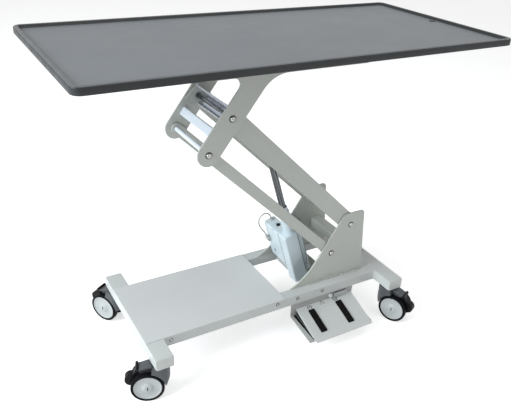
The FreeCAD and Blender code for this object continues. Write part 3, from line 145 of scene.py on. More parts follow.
# (Start, end) in x of each run of bead
WELD_RUNS = ((126.0, 188.0), (194.0, 259.0), (266.0, 309.0), (316.0, 352.0))
# (Start, end, height, half width) of the ridges above the weld
WELD_RIDGES = ((199.0, 235.0, 176.8, 1.9), (168.0, 192.0, 172.0, 1.5),
               (252.0, 284.0, 171.5, 1.3), (300.0, 348.0, 169.8, 2.2))
RIDGE_HEIGHT, RIDGE_STEPS = 1.1, 16

# Symbols and ribs; V and the ribs' ends are distances along the cover's slope
MARK_HEIGHT, SYMBOL_V = 0.25, -10.5
SYMBOL_X = (TREAD_CENTRES[0], TREAD_CENTRES[1] - 6.0)
ARC_RADIUS, ARC_WIDTH, ARROW_HALF, ARROW_LENGTH = 9.0, 2.2, 3.6, 6.0
RIB_FROM, RIB_TO, RIB_PITCH, RIB_WIDTH, RIB_INSET = 23.9, 108.3, 3.1, 1.5, 1.2
GUARD_HIGHLIGHT_WIDTH = 1.6
# The foot switch's lower plate: its rear edge (y, z) and its slope
LOWER_PLATE_REAR, LOWER_PLATE_SLOPE = (-146.0, 78.0), (78.0 - 56.0) / 121.0
# Place of the right-hand black wall under the cover, painted shade in the gap
GAP_SHADE_RIGHT = 224.0

# (Radius, distance from the caster's middle) round a tyre and a disc
TYRE_PROFILE = ((41.8, WHEEL_INNER + 1.0), (46.6, WHEEL_INNER), (48.4, WHEEL_INNER + 0.8),
                (49.6, WHEEL_INNER + 2.4), (50.0, WHEEL_INNER + 4.5), (50.0, WHEEL_OUTER - 2.2),
                (49.7, WHEEL_OUTER - 1.0), (48.9, WHEEL_OUTER - 0.25), (48.0, WHEEL_OUTER),
                (42.6, WHEEL_OUTER), (42.1, WHEEL_OUTER - 0.3), (41.8, WHEEL_OUTER - 1.0))
DISC_PROFILE = ((0.01, WHEEL_INNER), (41.8, WHEEL_INNER + 1.0), (41.8, WHEEL_OUTER - 1.0),
                (41.0, WHEEL_OUTER - 0.9), (39.6, WHEEL_OUTER - 0.9), (38.6, WHEEL_OUTER - 1.4),
                (37.2, WHEEL_OUTER - 2.8), (36.2, WHEEL_OUTER - 3.2), (19.6, WHEEL_OUTER - 3.2),
                (18.4, WHEEL_OUTER - 2.9), (16.8, WHEEL_OUTER - 1.8), (11.6, WHEEL_OUTER + 1.2),
                (9.8, WHEEL_OUTER + 1.8), (8.6, WHEEL_OUTER + 2.0), (0.01, WHEEL_OUTER + 2.0))
WHEEL_STEPS = 96
HUB_RADIUS, HUB_HALF = 5.0, 8.0

# (Along, left) of the route's points in the actuator's own frame, as in the part's source
CABLE_Y, CABLE_RADIUS = 76.0, 2.5
CABLE_ROUTE = ((234.0, 8.0), (252.0, 8.0), (267.0, 24.0), (264.0, 47.0), (243.0, 59.0),
               (218.0, 56.0), (194.0, 46.0), (175.0, 42.0))

# Camera and light: angles in degrees, lens in millimetres, places in metres -----------------------

CAMERA_AZIMUTH, CAMERA_ELEVATION, CAMERA_ROLL = -31.4, 28.1, 3.1
CAMERA_LENS, CAMERA_SENSOR = 42.76, 36.0
CAMERA_PLACE = (-0.9277, -1.4714, 1.3823)
LAMP_TARGET = (0.0, 0.0, 0.5)
FLOOR_HALF, FLOOR_GLOW, WORLD_LEVEL = 9.0, 0.60, 0.31


# Camera -------------------------------------------------------------------------------------------

def make_camera():
    azimuth, elevation, roll = (math.radians(angle) for angle in
                                (CAMERA_AZIMUTH, CAMERA_ELEVATION, CAMERA_ROLL))
    back = Vector((math.sin(azimuth) * math.cos(elevation),
                   -math.cos(azimuth) * math.cos(elevation), math.sin(elevation)))
    right = Vector((math.cos(azimuth), math.sin(azimuth), 0.0))
    up = right.cross(-back)
    x_axis = right * math.cos(roll) + up * math.sin(roll)
    y_axis = up * math.cos(roll) - right * math.sin(roll)
    data = bpy.data.cameras.new("camera")
    data.sensor_width = CAMERA_SENSOR
    data.sensor_fit = "HORIZONTAL"
    data.lens = CAMERA_LENS
    camera = bpy.data.objects.new("camera", data)
    bpy.context.scene.collection.objects.link(camera)
    matrix = camera.matrix_world.copy()
    for column, axis in enumerate((x_axis, y_axis, back)):
        for row in range(3):
            matrix[row][column] = axis[row]
    matrix.translation = Vector(CAMERA_PLACE)
    camera.matrix_world = matrix
    bpy.context.scene.camera = camera


# Materials ----------------------------------------------------------------------------------------

class Graph:
    """A material's nodes, with short calls for the ones used here."""

    def __init__(self, name, specular=0.5):
        self.material = bpy.data.materials.new(name)
        self.material.use_nodes = True
        self.tree = self.material.node_tree
        self.shader = self.tree.nodes["Principled BSDF"]
        self.shader.inputs["Specular IOR Level"].default_value = specular
        coordinates = self.tree.nodes.new("ShaderNodeTexCoord")
        self.place = coordinates.outputs["Object"]

    def node(self, kind, **values):
        made = self.tree.nodes.new(kind)
        for key, value in values.items():
            setattr(made, key, value)
        return made

    def link(self, start, end):
        self.tree.links.new(start, end)

    def noise(self, scale, detail=3.0, roughness=0.5, stretch=None):
        texture = self.node("ShaderNodeTexNoise")
        texture.inputs["Scale"].default_value = scale
        texture.inputs["Detail"].default_value = detail
        texture.inputs["Roughness"].default_value = roughness
        if stretch:
            mapping = self.node("ShaderNodeMapping")
            mapping.inputs["Scale"].default_value = stretch
            self.link(self.place, mapping.inputs["Vector"])
            self.link(mapping.outputs["Vector"], texture.inputs["Vector"])
        else:
            self.link(self.place, texture.inputs["Vector"])
        return texture.outputs["Fac"]

    def ramp(self, value, stops):
        """Colour ramp; stops are two pairs of (position, colour)."""
        ramp = self.node("ShaderNodeValToRGB")
        for element, (position, colour) in zip(ramp.color_ramp.elements, stops):
            element.position = position
            element.color = (*colour, 1.0)
        self.link(value, ramp.inputs["Fac"])
        return ramp.outputs["Color"]

    def grey_ramp(self, value, low, high, start=0.3, end=0.7):
        return self.ramp(value, [(start, (low,) * 3), (end, (high,) * 3)])

    def cloud(self, colour, scale, detail, low, high, roughness=0.5, start=0.3, end=0.7):
        """Soft change of a colour between two shades of itself."""
        return self.ramp(self.noise(scale, detail, roughness),
                         [(start, shade(colour, low)), (end, shade(colour, high))])

    def mix(self, factor, first, second, blend="MIX"):
        mix = self.node("ShaderNodeMix", data_type="RGBA", blend_type=blend)
        if isinstance(factor, float):
            mix.inputs["Factor"].default_value = factor
        else:
            self.link(factor, mix.inputs["Factor"])
        for socket, value in ((mix.inputs[6], first), (mix.inputs[7], second)):
            if isinstance(value, tuple):
                socket.default_value = (*value, 1.0)
            else:
                self.link(value, socket)
        return mix.outputs[2]

    def multiply(self, first, second):
        return self.mix(1.0, first, second, "MULTIPLY")

    def bump(self, height, distance, strength=1.0, normal=None):
        bump = self.node("ShaderNodeBump")
        bump.inputs["Distance"].default_value = distance
        bump.inputs["Strength"].default_value = strength
        self.link(height, bump.inputs["Height"])
        if normal:
            self.link(normal, bump.inputs["Normal"])
        return bump.outputs["Normal"]

    def soft_edges(self, radius):
        """Normal with its edges rounded, or None where the radius is 0."""
        if not radius:
            return None
        bevel = self.node("ShaderNodeBevel", samples=4)
        bevel.inputs["Radius"].default_value = radius
        return bevel.outputs["Normal"]

    def worn_and_highlit(self, base, colour, share, low=0.52, high=0.62):
        """Lets a share of the colour show on the mesh's convex edges, as wear and as painted edge
        highlight.
        """
        geometry = self.node("ShaderNodeNewGeometry")
        edges = self.grey_ramp(geometry.outputs["Pointiness"], 0.0, 1.0, low, high)
        return self.mix(self.mix(share, (0.0, 0.0, 0.0), edges), base, colour)

    def finish(self, colour, normal=None, roughness=None):
        self.link(colour, self.shader.inputs["Base Color"])
        if normal:
            self.link(normal, self.shader.inputs["Normal"])
        if roughness:
            self.link(roughness, self.shader.inputs["Roughness"])
        return self.material


def shade(colour, factor):
    return tuple(min(1.0, c * factor) for c in colour)


def powder_coat(name, colour, edge=0.0009, gloss=0.36):
    """Powder-coated steel: faint orange peel, slight cloudiness, soft edges lightened as wear and
    as painted highlight.
    """
    g = Graph(name)
    speck = g.grey_ramp(g.noise(950.0, 2.0), 0.965, 1.0, 0.35, 0.6)
    base = g.multiply(g.cloud(colour, 5.0, 4.0, 0.955, 1.03), speck)
    worn_and_highlit = g.worn_and_highlit(base, shade(colour, 1.25), 0.35)
    peel = g.bump(g.noise(620.0, 2.0, 0.4), 0.00012, 0.35, g.soft_edges(edge))
    rough = g.grey_ramp(g.noise(14.0, 3.0), gloss - 0.05, gloss + 0.07)
    return g.finish(worn_and_highlit, peel, rough)


def moulded(name, colour, gloss=0.45, grain=1400.0, depth=0.00006, edge=0.0007, cloud=0.05,
            specular=0.5):
    """Moulded plastic with a fine spark-eroded grain."""
    g = Graph(name, specular)
    base = g.cloud(colour, 9.0, 4.0, 1.0 - cloud, 1.0 + cloud)
    fine = g.bump(g.noise(grain, 2.0), depth, 0.5, g.soft_edges(edge))
    rough = g.grey_ramp(g.noise(40.0, 2.0), gloss - 0.05, gloss + 0.06)
    return g.finish(base, fine, rough)


def tray_rim_material(name, colour):
    """Moulded rim: satin skin with a leathery micro-texture, its edges lightened as rubbing and as
    painted highlight.
    """
    g = Graph(name, 0.32)
    base = g.cloud(colour, 7.0, 5.0, 0.85, 1.2)
    rubbed_and_highlit = g.worn_and_highlit(base, shade(colour, 2.6), 0.5, 0.51, 0.60)
    grain = g.bump(g.noise(700.0, 3.0, 0.6), 0.00015, 0.5)
    rough = g.grey_ramp(g.noise(25.0, 3.0), 0.40, 0.52)
    return g.finish(rubbed_and_highlit, grain, rough)


def tray_floor_material(name, colour):
    """Grey pebbled tray floor with faint wiping marks along its length."""
    g = Graph(name)
    wipes = g.grey_ramp(g.noise(6.0, 4.0, 0.6, (1.0, 9.0, 1.0)), 0.99, 1.01)
    speck = g.grey_ramp(g.noise(1100.0, 2.0), 0.90, 1.06, 0.35, 0.65)
    base = g.multiply(g.multiply(g.cloud(colour, 3.0, 4.0, 0.93, 1.07), wipes), speck)
    pebbles = g.node("ShaderNodeTexVoronoi", feature="SMOOTH_F1")
    pebbles.inputs["Scale"].default_value = 700.0
    g.link(g.place, pebbles.inputs["Vector"])
    bump = g.bump(pebbles.outputs["Distance"], 0.00025, 0.5)
    rough = g.grey_ramp(g.noise(6.0, 4.0, 0.6), 0.42, 0.50)
    return g.finish(base, bump, rough)


def polished_steel(name, colour, gloss):
    """Bright steel, its colour varying in soft clouds, with a faint fine bump."""
    g = Graph(name)
    g.shader.inputs["Metallic"].default_value = 1.0
    base = g.cloud(colour, 60.0, 4.0, 0.85, 1.1)
    normal = g.bump(g.noise(1500.0, 2.0), 0.00003, 0.4)
    rough = g.grey_ramp(g.noise(130.0, 3.0), gloss, gloss + 0.10)
    return g.finish(base, normal, rough)


def rubber(name, colour, gloss, specular):
    """Slightly dusty black rubber, paler on its convex edges as wear and as painted highlight."""
    g = Graph(name, specular)
    dusty = g.cloud(colour, 38.0, 6.0, 1.0, 1.6, 0.6, 0.35, 0.72)
    worn_and_highlit = g.worn_and_highlit(dusty, shade(colour, 2.2), 0.3, 0.58, 0.70)
    normal = g.bump(g.noise(1500.0, 3.0), 0.00008, 0.6)
    rough = g.grey_ramp(g.noise(60.0, 4.0), gloss - 0.08, gloss + 0.12)
    return g.finish(worn_and_highlit, normal, rough)


def seen_ray(tree):
    """1 for camera, glossy and transmission rays, and 0 for the rays that light the object."""
    path = tree.nodes.new("ShaderNodeLightPath")
    seen = path.outputs["Is Camera Ray"]
    for name in ("Is Glossy Ray", "Is Transmission Ray"):
        either = tree.nodes.new("ShaderNodeMath")
        either.operation = "MAXIMUM"
        tree.links.new(seen, either.inputs[0])
        tree.links.new(path.outputs[name], either.inputs[1])
        seen = either.outputs[0]
    return seen


def floor_material(name):
    """Matt pale floor that shows white in the picture and keeps the object's shadow."""
    g = Graph(name, 0.0)
    g.shader.inputs["Roughness"].default_value = 0.9
    g.finish(g.grey_ramp(g.noise(2.0, 2.0), 0.86, 0.88))
    scaled = g.node("ShaderNodeMath", operation="MULTIPLY")
    scaled.inputs[1].default_value = FLOOR_GLOW
    g.link(seen_ray(g.tree), scaled.inputs[0])
    glow = g.node("ShaderNodeEmission")
    g.link(scaled.outputs[0], glow.inputs["Strength"])
    total = g.node("ShaderNodeAddShader")
    g.link(g.shader.outputs[0], total.inputs[0])
    g.link(glow.outputs[0], total.inputs[1])
    g.link(total.outputs[0], g.tree.nodes["Material Output"].inputs["Surface"])
    return g.material


# The lift's parts get a darker copy of the frame's paint (frame_paint is the same paint, lighter):
# painted shade for the parts under the tray
SHADED_PAINT = (0.492, 0.508, 0.474)
paint = powder_coat("paint", SHADED_PAINT)
# Still darker copy of the paint for weld beads, their ridges and the cover's crease: painted shade
bead_shade_paint = powder_coat("bead_shade_paint", shade(SHADED_PAINT, 0.86), edge=0.0, gloss=0.42)
# Pale bluish copy of the paint for the tie, the link's upper shaft and the guard's edges: painted
# highlight
light_paint = powder_coat("light_paint", (0.74, 0.80, 0.93))
deck_paint = powder_coat("deck_paint", (0.625, 0.640, 0.635))
frame_paint = powder_coat("frame_paint", (0.585, 0.605, 0.598))
# Darker copy of the paint for the foot switch bracket: painted shade under the rail
plate_shaded_paint = powder_coat("plate_shaded_paint", (0.40, 0.41, 0.40))
# Paler lavender copy of the paint for the arm channel: painted highlight on its lit flange
channel_highlit_paint = powder_coat("channel_highlit_paint", (0.64, 0.66, 0.72))
cap_plastic = moulded("cap_plastic", (0.60, 0.62, 0.60), gloss=0.38)
case_plastic = moulded("case_plastic", (0.62, 0.71, 0.76), gloss=0.36)
case_grey = moulded("case_grey", (0.42, 0.44, 0.44), gloss=0.42)
cable_jacket = moulded("cable_jacket", (0.50, 0.51, 0.50), grain=900.0, depth=0.0001, edge=0.0)
black_plastic = moulded("black_plastic", (0.006, 0.006, 0.007), gloss=0.42, grain=1200.0,
                        depth=0.00008, edge=0.0008, cloud=0.25, specular=0.14)
hood_plastic = moulded("hood_plastic", (0.080, 0.086, 0.094), gloss=0.34, grain=1000.0,
                       depth=0.00007, edge=0.0012, cloud=0.15, specular=0.35)
disc_plastic = moulded("disc_plastic", (0.48, 0.50, 0.50), gloss=0.36, grain=1100.0)
bush_plastic = moulded("bush_plastic", (0.25, 0.26, 0.25), gloss=0.5)
bright = polished_steel("bright_steel", (0.62, 0.62, 0.61), gloss=0.10)
# Dark base colours for the rod and the arm's upper shaft: painted dark reflection, which the white
# studio doesn't give
rod_steel_painted_dark = polished_steel("rod_steel_painted_dark", (0.13, 0.135, 0.14), gloss=0.07)
chrome_painted_dark = polished_steel("chrome_painted_dark", (0.16, 0.17, 0.18), gloss=0.06)
screw_steel = polished_steel("screw_steel", (0.42, 0.42, 0.41), gloss=0.16)
tyre_rubber = rubber("tyre_rubber", (0.0040, 0.0042, 0.0052), gloss=0.50, specular=0.06)
tread_rubber = rubber("tread_rubber", (0.0030, 0.0030, 0.0033), gloss=0.6, specular=0.12)
rim_material = tray_rim_material("tray_rim", (0.017, 0.019, 0.021))
# Lighter and near-black copies of the rim's material: painted highlight on its top, painted shade
# on its inner slope
rim_highlight_material = tray_rim_material("tray_rim_painted_highlight", (0.080, 0.087, 0.093))
rim_shade_material = tray_rim_material("tray_rim_painted_shade", (0.010, 0.011, 0.012))
floor_pebble = tray_floor_material("tray_floor", (0.113, 0.125, 0.137))
# Near-black for the printed symbols, and for marks of painted shade: screw rings, seams and hub
# slots
ink_and_painted_shade = moulded("ink_and_painted_shade", (0.010, 0.010, 0.012), gloss=0.5, depth=0.00002, edge=0.0)

CAD_MATERIALS = {
    paint: ["top_frame", "front_bracket", "rear_bracket", "front_arm", "rear_arm",
            "arm_torsion_tube", "rod_mount", "front_link", "rear_link", "front_pedestal",
            "rear_pedestal", "pedestal_crossbar", "actuator_mount"],
    plate_shaded_paint: ["foot_switch_bracket"],
    deck_paint: ["base_deck"],
    frame_paint: ["base_frame", "foot_switch_cover"],
    channel_highlit_paint: ["arm_channel"],
    light_paint: ["bracket_tie", "link_upper_shaft"],
    cap_plastic: ["crossbar_end_caps"],
    chrome_painted_dark: ["arm_upper_shaft"],
    bright: ["arm_lower_shaft", "link_lower_shaft", "rod_pin", "actuator_pin", "rod_eye",
             "tread_pivot_pin"],
    rod_steel_painted_dark: ["actuator_rod"],
    screw_steel: ["top_screws", "base_screws"],
    bush_plastic: ["arm_bushes", "link_bushes"],
    case_plastic: ["actuator_tube", "control_box", "actuator_housing"],
    case_grey: ["actuator_motor"],
    cable_jacket: ["box_cable", "cable_connectors", "foot_cable_gland"],
    black_plastic: ["foot_microswitches"] + [c + "_caster_pedal" for c in CASTERS],
    tread_rubber: ["raise_tread", "lower_tread"],
    hood_plastic: [c + "_caster_hood" for c in CASTERS],
    disc_plastic: [c + "_caster_wheels" for c in CASTERS],
    tyre_rubber: [c + "_caster_tyres" for c in CASTERS],
    rim_material: ["tray_top"]}


def dress_cad():
    for material, names in CAD_MATERIALS.items():
        for name in names:
            slot_shadows = nodes[name].data.materials
            slot_shadows.clear()
            slot_shadows.append(material)


# Mesh helpers; points are in millimetres ----------------------------------------------------------

def add_piece(name, verts, faces, material, body, replaces=(), smooth=30.0):
    """Makes a piece of verts and faces, its double points joined and its faces turned outward."""
    mesh = bpy.data.meshes.new(name)
    mesh.from_pydata([tuple(c / MM_PER_M for c in v) for v in verts], [], faces)
    mesh.validate()
    tidy = bmesh.new()
    tidy.from_mesh(mesh)
    bmesh.ops.remove_doubles(tidy, verts=tidy.verts, dist=1e-6)
    bmesh.ops.recalc_face_normals(tidy, faces=tidy.faces)
    tidy.to_mesh(mesh)
    tidy.free()
    return place_piece(name, mesh, material, body, replaces, smooth)


def place_piece(name, mesh, material, body, replaces=(), smooth=30.0):
    """Makes the mesh a piece; smooth is the sharpest angle shaded smooth, or 0 for flat faces."""
    if smooth:
        mesh.polygons.foreach_set("use_smooth", [True] * len(mesh.polygons))
        mesh.set_sharp_from_angle(angle=math.radians(smooth))
    mesh.materials.append(material)
    piece = bpy.data.objects.new(name, mesh)
    bpy.context.scene.collection.objects.link(piece)
    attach(piece, body)
    if replaces:
        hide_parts(*replaces)
    return piece


class Shape:
    """Gathers verts and faces of one piece."""

    def __init__(self):
        self.verts = []
        self.faces = []

    def loops(self, rings, cap_start=False, cap_end=False):
        """Skins a list of closed rings with equally many points."""
        start = len(self.verts)
        count = len(rings[0])
        for ring in rings:
            self.verts.extend(ring)
        for i in range(len(rings) - 1):
            for j in range(count):
                k = (j + 1) % count
                a = start + i * count
                b = a + count
                self.faces.append((a + j, a + k, b + k, b + j))
        if cap_start:
            self.faces.append(tuple(start + j for j in reversed(range(count))))
        if cap_end:
            last = start + (len(rings) - 1) * count
            self.faces.append(tuple(last + j for j in range(count)))

    def lathe(self, place, profile, steps, cap_start=False, scale=None):
        """Turns (radius, height) points; place maps (x, y, height) of the lathe to the part.

        scale, if given, maps (index in the profile, angle) to a factor on the radius.
        """
        rings = []
        for index, (radius, height) in enumerate(profile):
            ring = []
            for s in range(steps):
                angle = 2 * math.pi * s / steps
                r = radius * (scale(index, angle) if scale else 1.0)
                ring.append(place(r * math.cos(angle), r * math.sin(angle), height))
            rings.append(ring)
        self.loops(rings, cap_start)

    def prism(self, place, outline, low, high, edge=0.0, steps=2):
        """Plate with the given outline between two heights, its sharp edges rounded."""
        solid = bmesh.new()
        lower = [solid.verts.new((x, y, low)) for x, y in outline]
        upper = [solid.verts.new((x, y, high)) for x, y in outline]
        solid.faces.new(list(reversed(lower)))
        solid.faces.new(upper)
        for i in range(len(outline)):
            k = (i + 1) % len(outline)
            solid.faces.new((lower[i], lower[k], upper[k], upper[i]))
        if edge:
            sharp = [e for e in solid.edges if e.calc_face_angle() > 0.4]
            bmesh.ops.bevel(solid, geom=sharp, offset=edge, segments=steps, profile=0.5,
                            affect="EDGES", clamp_overlap=True)
        solid.verts.index_update()
        start = len(self.verts)
        self.verts.extend(place(*v.co) for v in solid.verts)
        self.faces.extend(tuple(start + v.index for v in f.verts) for f in solid.faces)
        solid.free()

    def make(self, name, material, body, slot, replaces=(), smooth=30.0):
        return add_piece(name, self.verts, self.faces, material, body, replaces, smooth)


def axes(origin, x_axis, y_axis):
    """Placement with its own axes; z is x cross y."""
    o, x, y = Vector(origin), Vector(x_axis).normalized(), Vector(y_axis).normalized()
    z = x.cross(y)
    return lambda a, b, c: tuple(o + x * a + y * b + z * c)


def circle(x, y, radius, start=0.0, end=360.0, steps=24):
    """Points of a circle or arc; an arc includes its end."""
    whole = abs(end - start) >= 360.0
    angles = [math.radians(start + (end - start) * i / steps)
              for i in range(steps if whole else steps + 1)]
    return [(x + radius * math.cos(a), y + radius * math.sin(a)) for a in angles]


def rectangle(x0, x1, y0, y1):
    return [(x0, y0), (x1, y0), (x1, y1), (x0, y1)]


def hexagon(angle):
    """Radius of a regular hexagon over its corner radius, at an angle."""
    step = math.pi / 3
    return math.cos(step / 2) / math.cos((angle % step) - step / 2)


def rounded_rectangle(half_x, half_y, radius, z, steps):
    """Ring at height z, with the given number of steps round each corner."""
    ring = []
    for cx, cy, start in ((1, 1, 0), (-1, 1, 90), (-1, -1, 180), (1, -1, 270)):
        for s in range(steps + 1):
            angle = math.radians(start + 90.0 * s / steps)
            ring.append((cx * (half_x - radius) + radius * math.cos(angle),
                         cy * (half_y - radius) + radius * math.sin(angle), z))
    return ring


# Tray ---------------------------------------------------------------------------------------------

def distance_in(point):
    """Distance in millimetres of a point of the rim from the tray's outer edge, seen from above."""
    x, y = abs(point[0]) * MM_PER_M, abs(point[1]) * MM_PER_M
    corner_x, corner_y = TOP_HALF_X - TRAY_CORNER, TOP_HALF_Y - TRAY_CORNER
    if x > corner_x and y > corner_y:
        return TRAY_CORNER - math.hypot(x - corner_x, y - corner_y)
    return min(TOP_HALF_X - x, TOP_HALF_Y - y)


def paint_rim(mesh):
    """Gives the rim's side, its top and its inner slope the material slots 0, 1 and 2; slot 1 is a
    lighter copy as painted highlight, slot 2 a near-black copy as painted shade.
    """
    for polygon in mesh.polygons:
        corners = [mesh.vertices[v].co for v in polygon.vertices]
        inset = min(distance_in(corner) for corner in corners)
        height = max(corner.z for corner in corners) * MM_PER_M
        if inset >= RIM_TOP_TO:
            polygon.material_index = 2
        elif inset >= RIM_TOP_FROM and height > TOP_Z - RIM_TOP_DEPTH:
            polygon.material_index = 1


def drilled_plate(name, z, ring, hole_radius, up, material):
    """Flat face of the tray inside a ring, with the drain's hole."""
    hole = [(DRAIN_X + hole_radius * math.cos(2 * math.pi * s / DRAIN_STEPS),
             DRAIN_Y + hole_radius * math.sin(2 * math.pi * s / DRAIN_STEPS), z)
            for s in range(DRAIN_STEPS)]
    flat = bmesh.new()
    edges = []
    for outline in (ring, hole):
        verts = [flat.verts.new(tuple(c / MM_PER_M for c in point)) for point in outline]
        edges += [flat.edges.new((verts[i], verts[(i + 1) % len(verts)]))
                  for i in range(len(verts))]
    bmesh.ops.triangle_fill(flat, use_beauty=True, edges=edges, normal=(0, 0, up))
    mesh = bpy.data.meshes.new(name)
    flat.to_mesh(mesh)
    flat.free()
    place_piece(name, mesh, material, "tabletop", smooth=0)


def tray():
    """Moulded rim swept round the tray, with painted highlight on its top and painted shade on its
    inner slope, and the grey floor with its drain hole.
    """
    rings = [rounded_rectangle(TOP_HALF_X - inset, TOP_HALF_Y - inset,
                               max(TRAY_CORNER - inset, RIM_LEAST_CORNER), z, RIM_CORNER_STEPS)
             for inset, z in RIM_PROFILE]
    shape = Shape()
    shape.loops(rings)
    rim = shape.make("tray_rim", rim_material, "tabletop", "tray", ("tray_top",), 40.0)
    rim.data.materials.append(rim_highlight_material)
    rim.data.materials.append(rim_shade_material)
    paint_rim(rim.data)
    drilled_plate("tray_floor", DECK_Z, rings[-1], DRAIN_FLARE_RADIUS, 1, floor_pebble)
    drilled_plate("tray_underside", DECK_UNDER_Z, rings[0], DRAIN_RADIUS, -1, rim_material)
    drain = Shape()
    drain.lathe(axes((DRAIN_X, DRAIN_Y, 0), (1, 0, 0), (0, 1, 0)),
                [(DRAIN_FLARE_RADIUS, DECK_Z), (DRAIN_RADIUS + 2.2, DECK_Z - 0.3),
                 (DRAIN_RADIUS + 0.3, DECK_Z - 1.5), (DRAIN_RADIUS, DECK_Z - 2.0),
                 (DRAIN_RADIUS, DECK_UNDER_Z)], DRAIN_STEPS)
    drain.make("drain_flare", rim_material, "tabletop", "tray", smooth=50.0)


# Screws -------------------------------------------------------------------------------------------

def button_head(shape, origin, out, sizes):
    """Domed head with a rolled edge and a hexagon socket."""
    radius, height, socket = sizes
    side = Vector((1, 0, 0)) if out[2] else Vector((0, 0, 1))
    place = axes(origin, side, Vector(out).cross(side))
    dome, brim = radius * 0.985, socket * 1.15
    profile = [(radius * 0.97, 0.0), (radius, height * 0.10), (dome, height * 0.26)]
    for degrees in range(15, 91, 15):
        angle = math.radians(degrees)
        profile.append((brim + (dome - brim) * math.cos(angle),
                        height * (0.26 + 0.74 * math.sin(angle))))
    rim = len(profile)
    profile += [(socket, height * 0.97), (socket * 0.98, height * 0.35), (0.01, height * 0.2)]
    shape.lathe(place, profile, 24, True,
                lambda i, angle: hexagon(angle) if rim <= i < rim + 2 else 1.0)


def shadow_ring(shape, origin, x_axis, y_axis, radius):
    """Thin near-black ring round a screw's head: painted shadow round the head."""
    shape.lathe(axes(origin, x_axis, y_axis),
                [(radius, 0.0), (radius, 0.5), (radius - 0.5, 0.8), (2.0, 0.8)], 24, True)


def screws():
    # rings gathers the near-black rings of painted shadow round the heads, one piece per body
    rings = {"base": Shape(), "tabletop": Shape()}
    for name, centres, body in (("base_screw", (ARM_LOWER, LINK_LOWER), "base"),
                                ("top_screw", (ARM_UPPER, LINK_UPPER), "tabletop")):
        shape = Shape()
        for x, z in centres:
            for side in (-1, 1):
                centre = (x, side * PLATE_Y, z)
                button_head(shape, centre, (0, side, 0), SHAFT_SCREW)
                shadow_ring(rings[body], centre, (1, 0, 0), (0, 0, -side), SHAFT_SHADOW_RING)
        shape.make(name + "_heads", screw_steel, body, "screw", (name + "s",), 35.0)
    rails = Shape()
    for x, z in RAIL_SCREWS:
        for side in (-1, 1):
            centre = (x, side * RAIL_Y, z)
            button_head(rails, centre, (0, side, 0), RAIL_SCREW)
            shadow_ring(rings["base"], centre, (1, 0, 0), (0, 0, -side), RAIL_SHADOW_RING)
    for side in (-1, 1):
        centre = (FRAME_SCREW_X, side * FRAME_SCREW_Y, FRAME_TOP)
        button_head(rails, centre, (0, 0, 1), FRAME_SCREW)
        shadow_ring(rings["base"], centre, (1, 0, 0), (0, 1, 0), FRAME_SHADOW_RING)
    rails.make("rail_screws", screw_steel, "base", "screw", smooth=35.0)
    for body, shape in rings.items():
        shape.make(body + "_screw_shadow_rings", ink_and_painted_shade, body, "black_plastic", smooth=35.0)


# Welds --------------------------------------------------------------------------------------------

def weld_run(face, out, start, end):
    """Rings of one run of bead in the corner of a plate's face and the rail's top."""
    rings = []
    steps = int(end - start)
    for i in range(steps + 1):
        x = start + (end - start) * i / steps
        ripple = (1.0 + 0.20 * math.sin(x * 0.82) + 0.12 * math.sin(x * 0.31)
                  + 0.08 * math.sin(x * 0.173))
        taper = min(1.0, i / 4.0 + 0.1, (steps - i) / 4.0 + 0.1)
        r = WELD_RADIUS * ripple * taper
        rings.append([(x, face - out * 0.4, FRAME_TOP + r * 1.1),
                      (x, face + out * r * 0.45, FRAME_TOP + r * 0.85),
                      (x, face + out * r * 0.85, FRAME_TOP + r * 0.45),
                      (x, face + out * r * 1.15, FRAME_TOP - 0.2),
                      (x, face - out * 0.4, FRAME_TOP - 0.2)])
    return rings


def weld_ridge(side, start, end, z, half):
    """Rings of a low painted-over ridge on the pedestal plate, above its weld."""
    rings = []
    for i in range(RIDGE_STEPS + 1):
        x = start + (end - start) * i / RIDGE_STEPS
        swell = max(0.12, math.sin(math.pi * i / RIDGE_STEPS)) * (1.0 + 0.15 * math.sin(i * 1.7))
        middle = z + 0.6 * math.sin(i * 0.45)
        rings.append([(x, side * (PLATE_Y - 0.2 + RIDGE_HEIGHT * swell * math.sin(math.radians(a))),
                       middle + half * swell * math.cos(math.radians(a)))
                      for a in range(0, 181, 30)])
    return rings


def weld_beads():
    """Painted weld beads where the pedestal plates stand on the rails, in uneven runs, darker than
    the paint as painted shade.
    """
    shape = Shape()
    for side in (-1, 1):
        for face, out in ((PLATE_Y, side), (PLATE_Y - PLATE_THICKNESS, -side)):
            for start, end in WELD_RUNS:
                shape.loops(weld_run(side * face, out, start, end), True, True)
        for start, end, z, half in WELD_RIDGES:
            shape.loops(weld_ridge(side, start, end, z, half), True, True)
    shape.make("pedestal_welds", bead_shade_paint, "base", "paint", smooth=50.0)


# Foot switch --------------------------------------------------------------------------------------

def cover_axes():
    """(x, distance up the slope, height over it) of the foot switch cover, from its rear edge."""
    return axes((0.0, COVER_REAR_Y, COVER_TOP), (1, 0, 0), (0, 1, COVER_SLOPE))


def arc_mark(x, v, radius, width, start, end):
    """Outline of a band along an arc."""
    return circle(x, v, radius, start, end, 12) + circle(x, v, radius - width, end, start, 12)


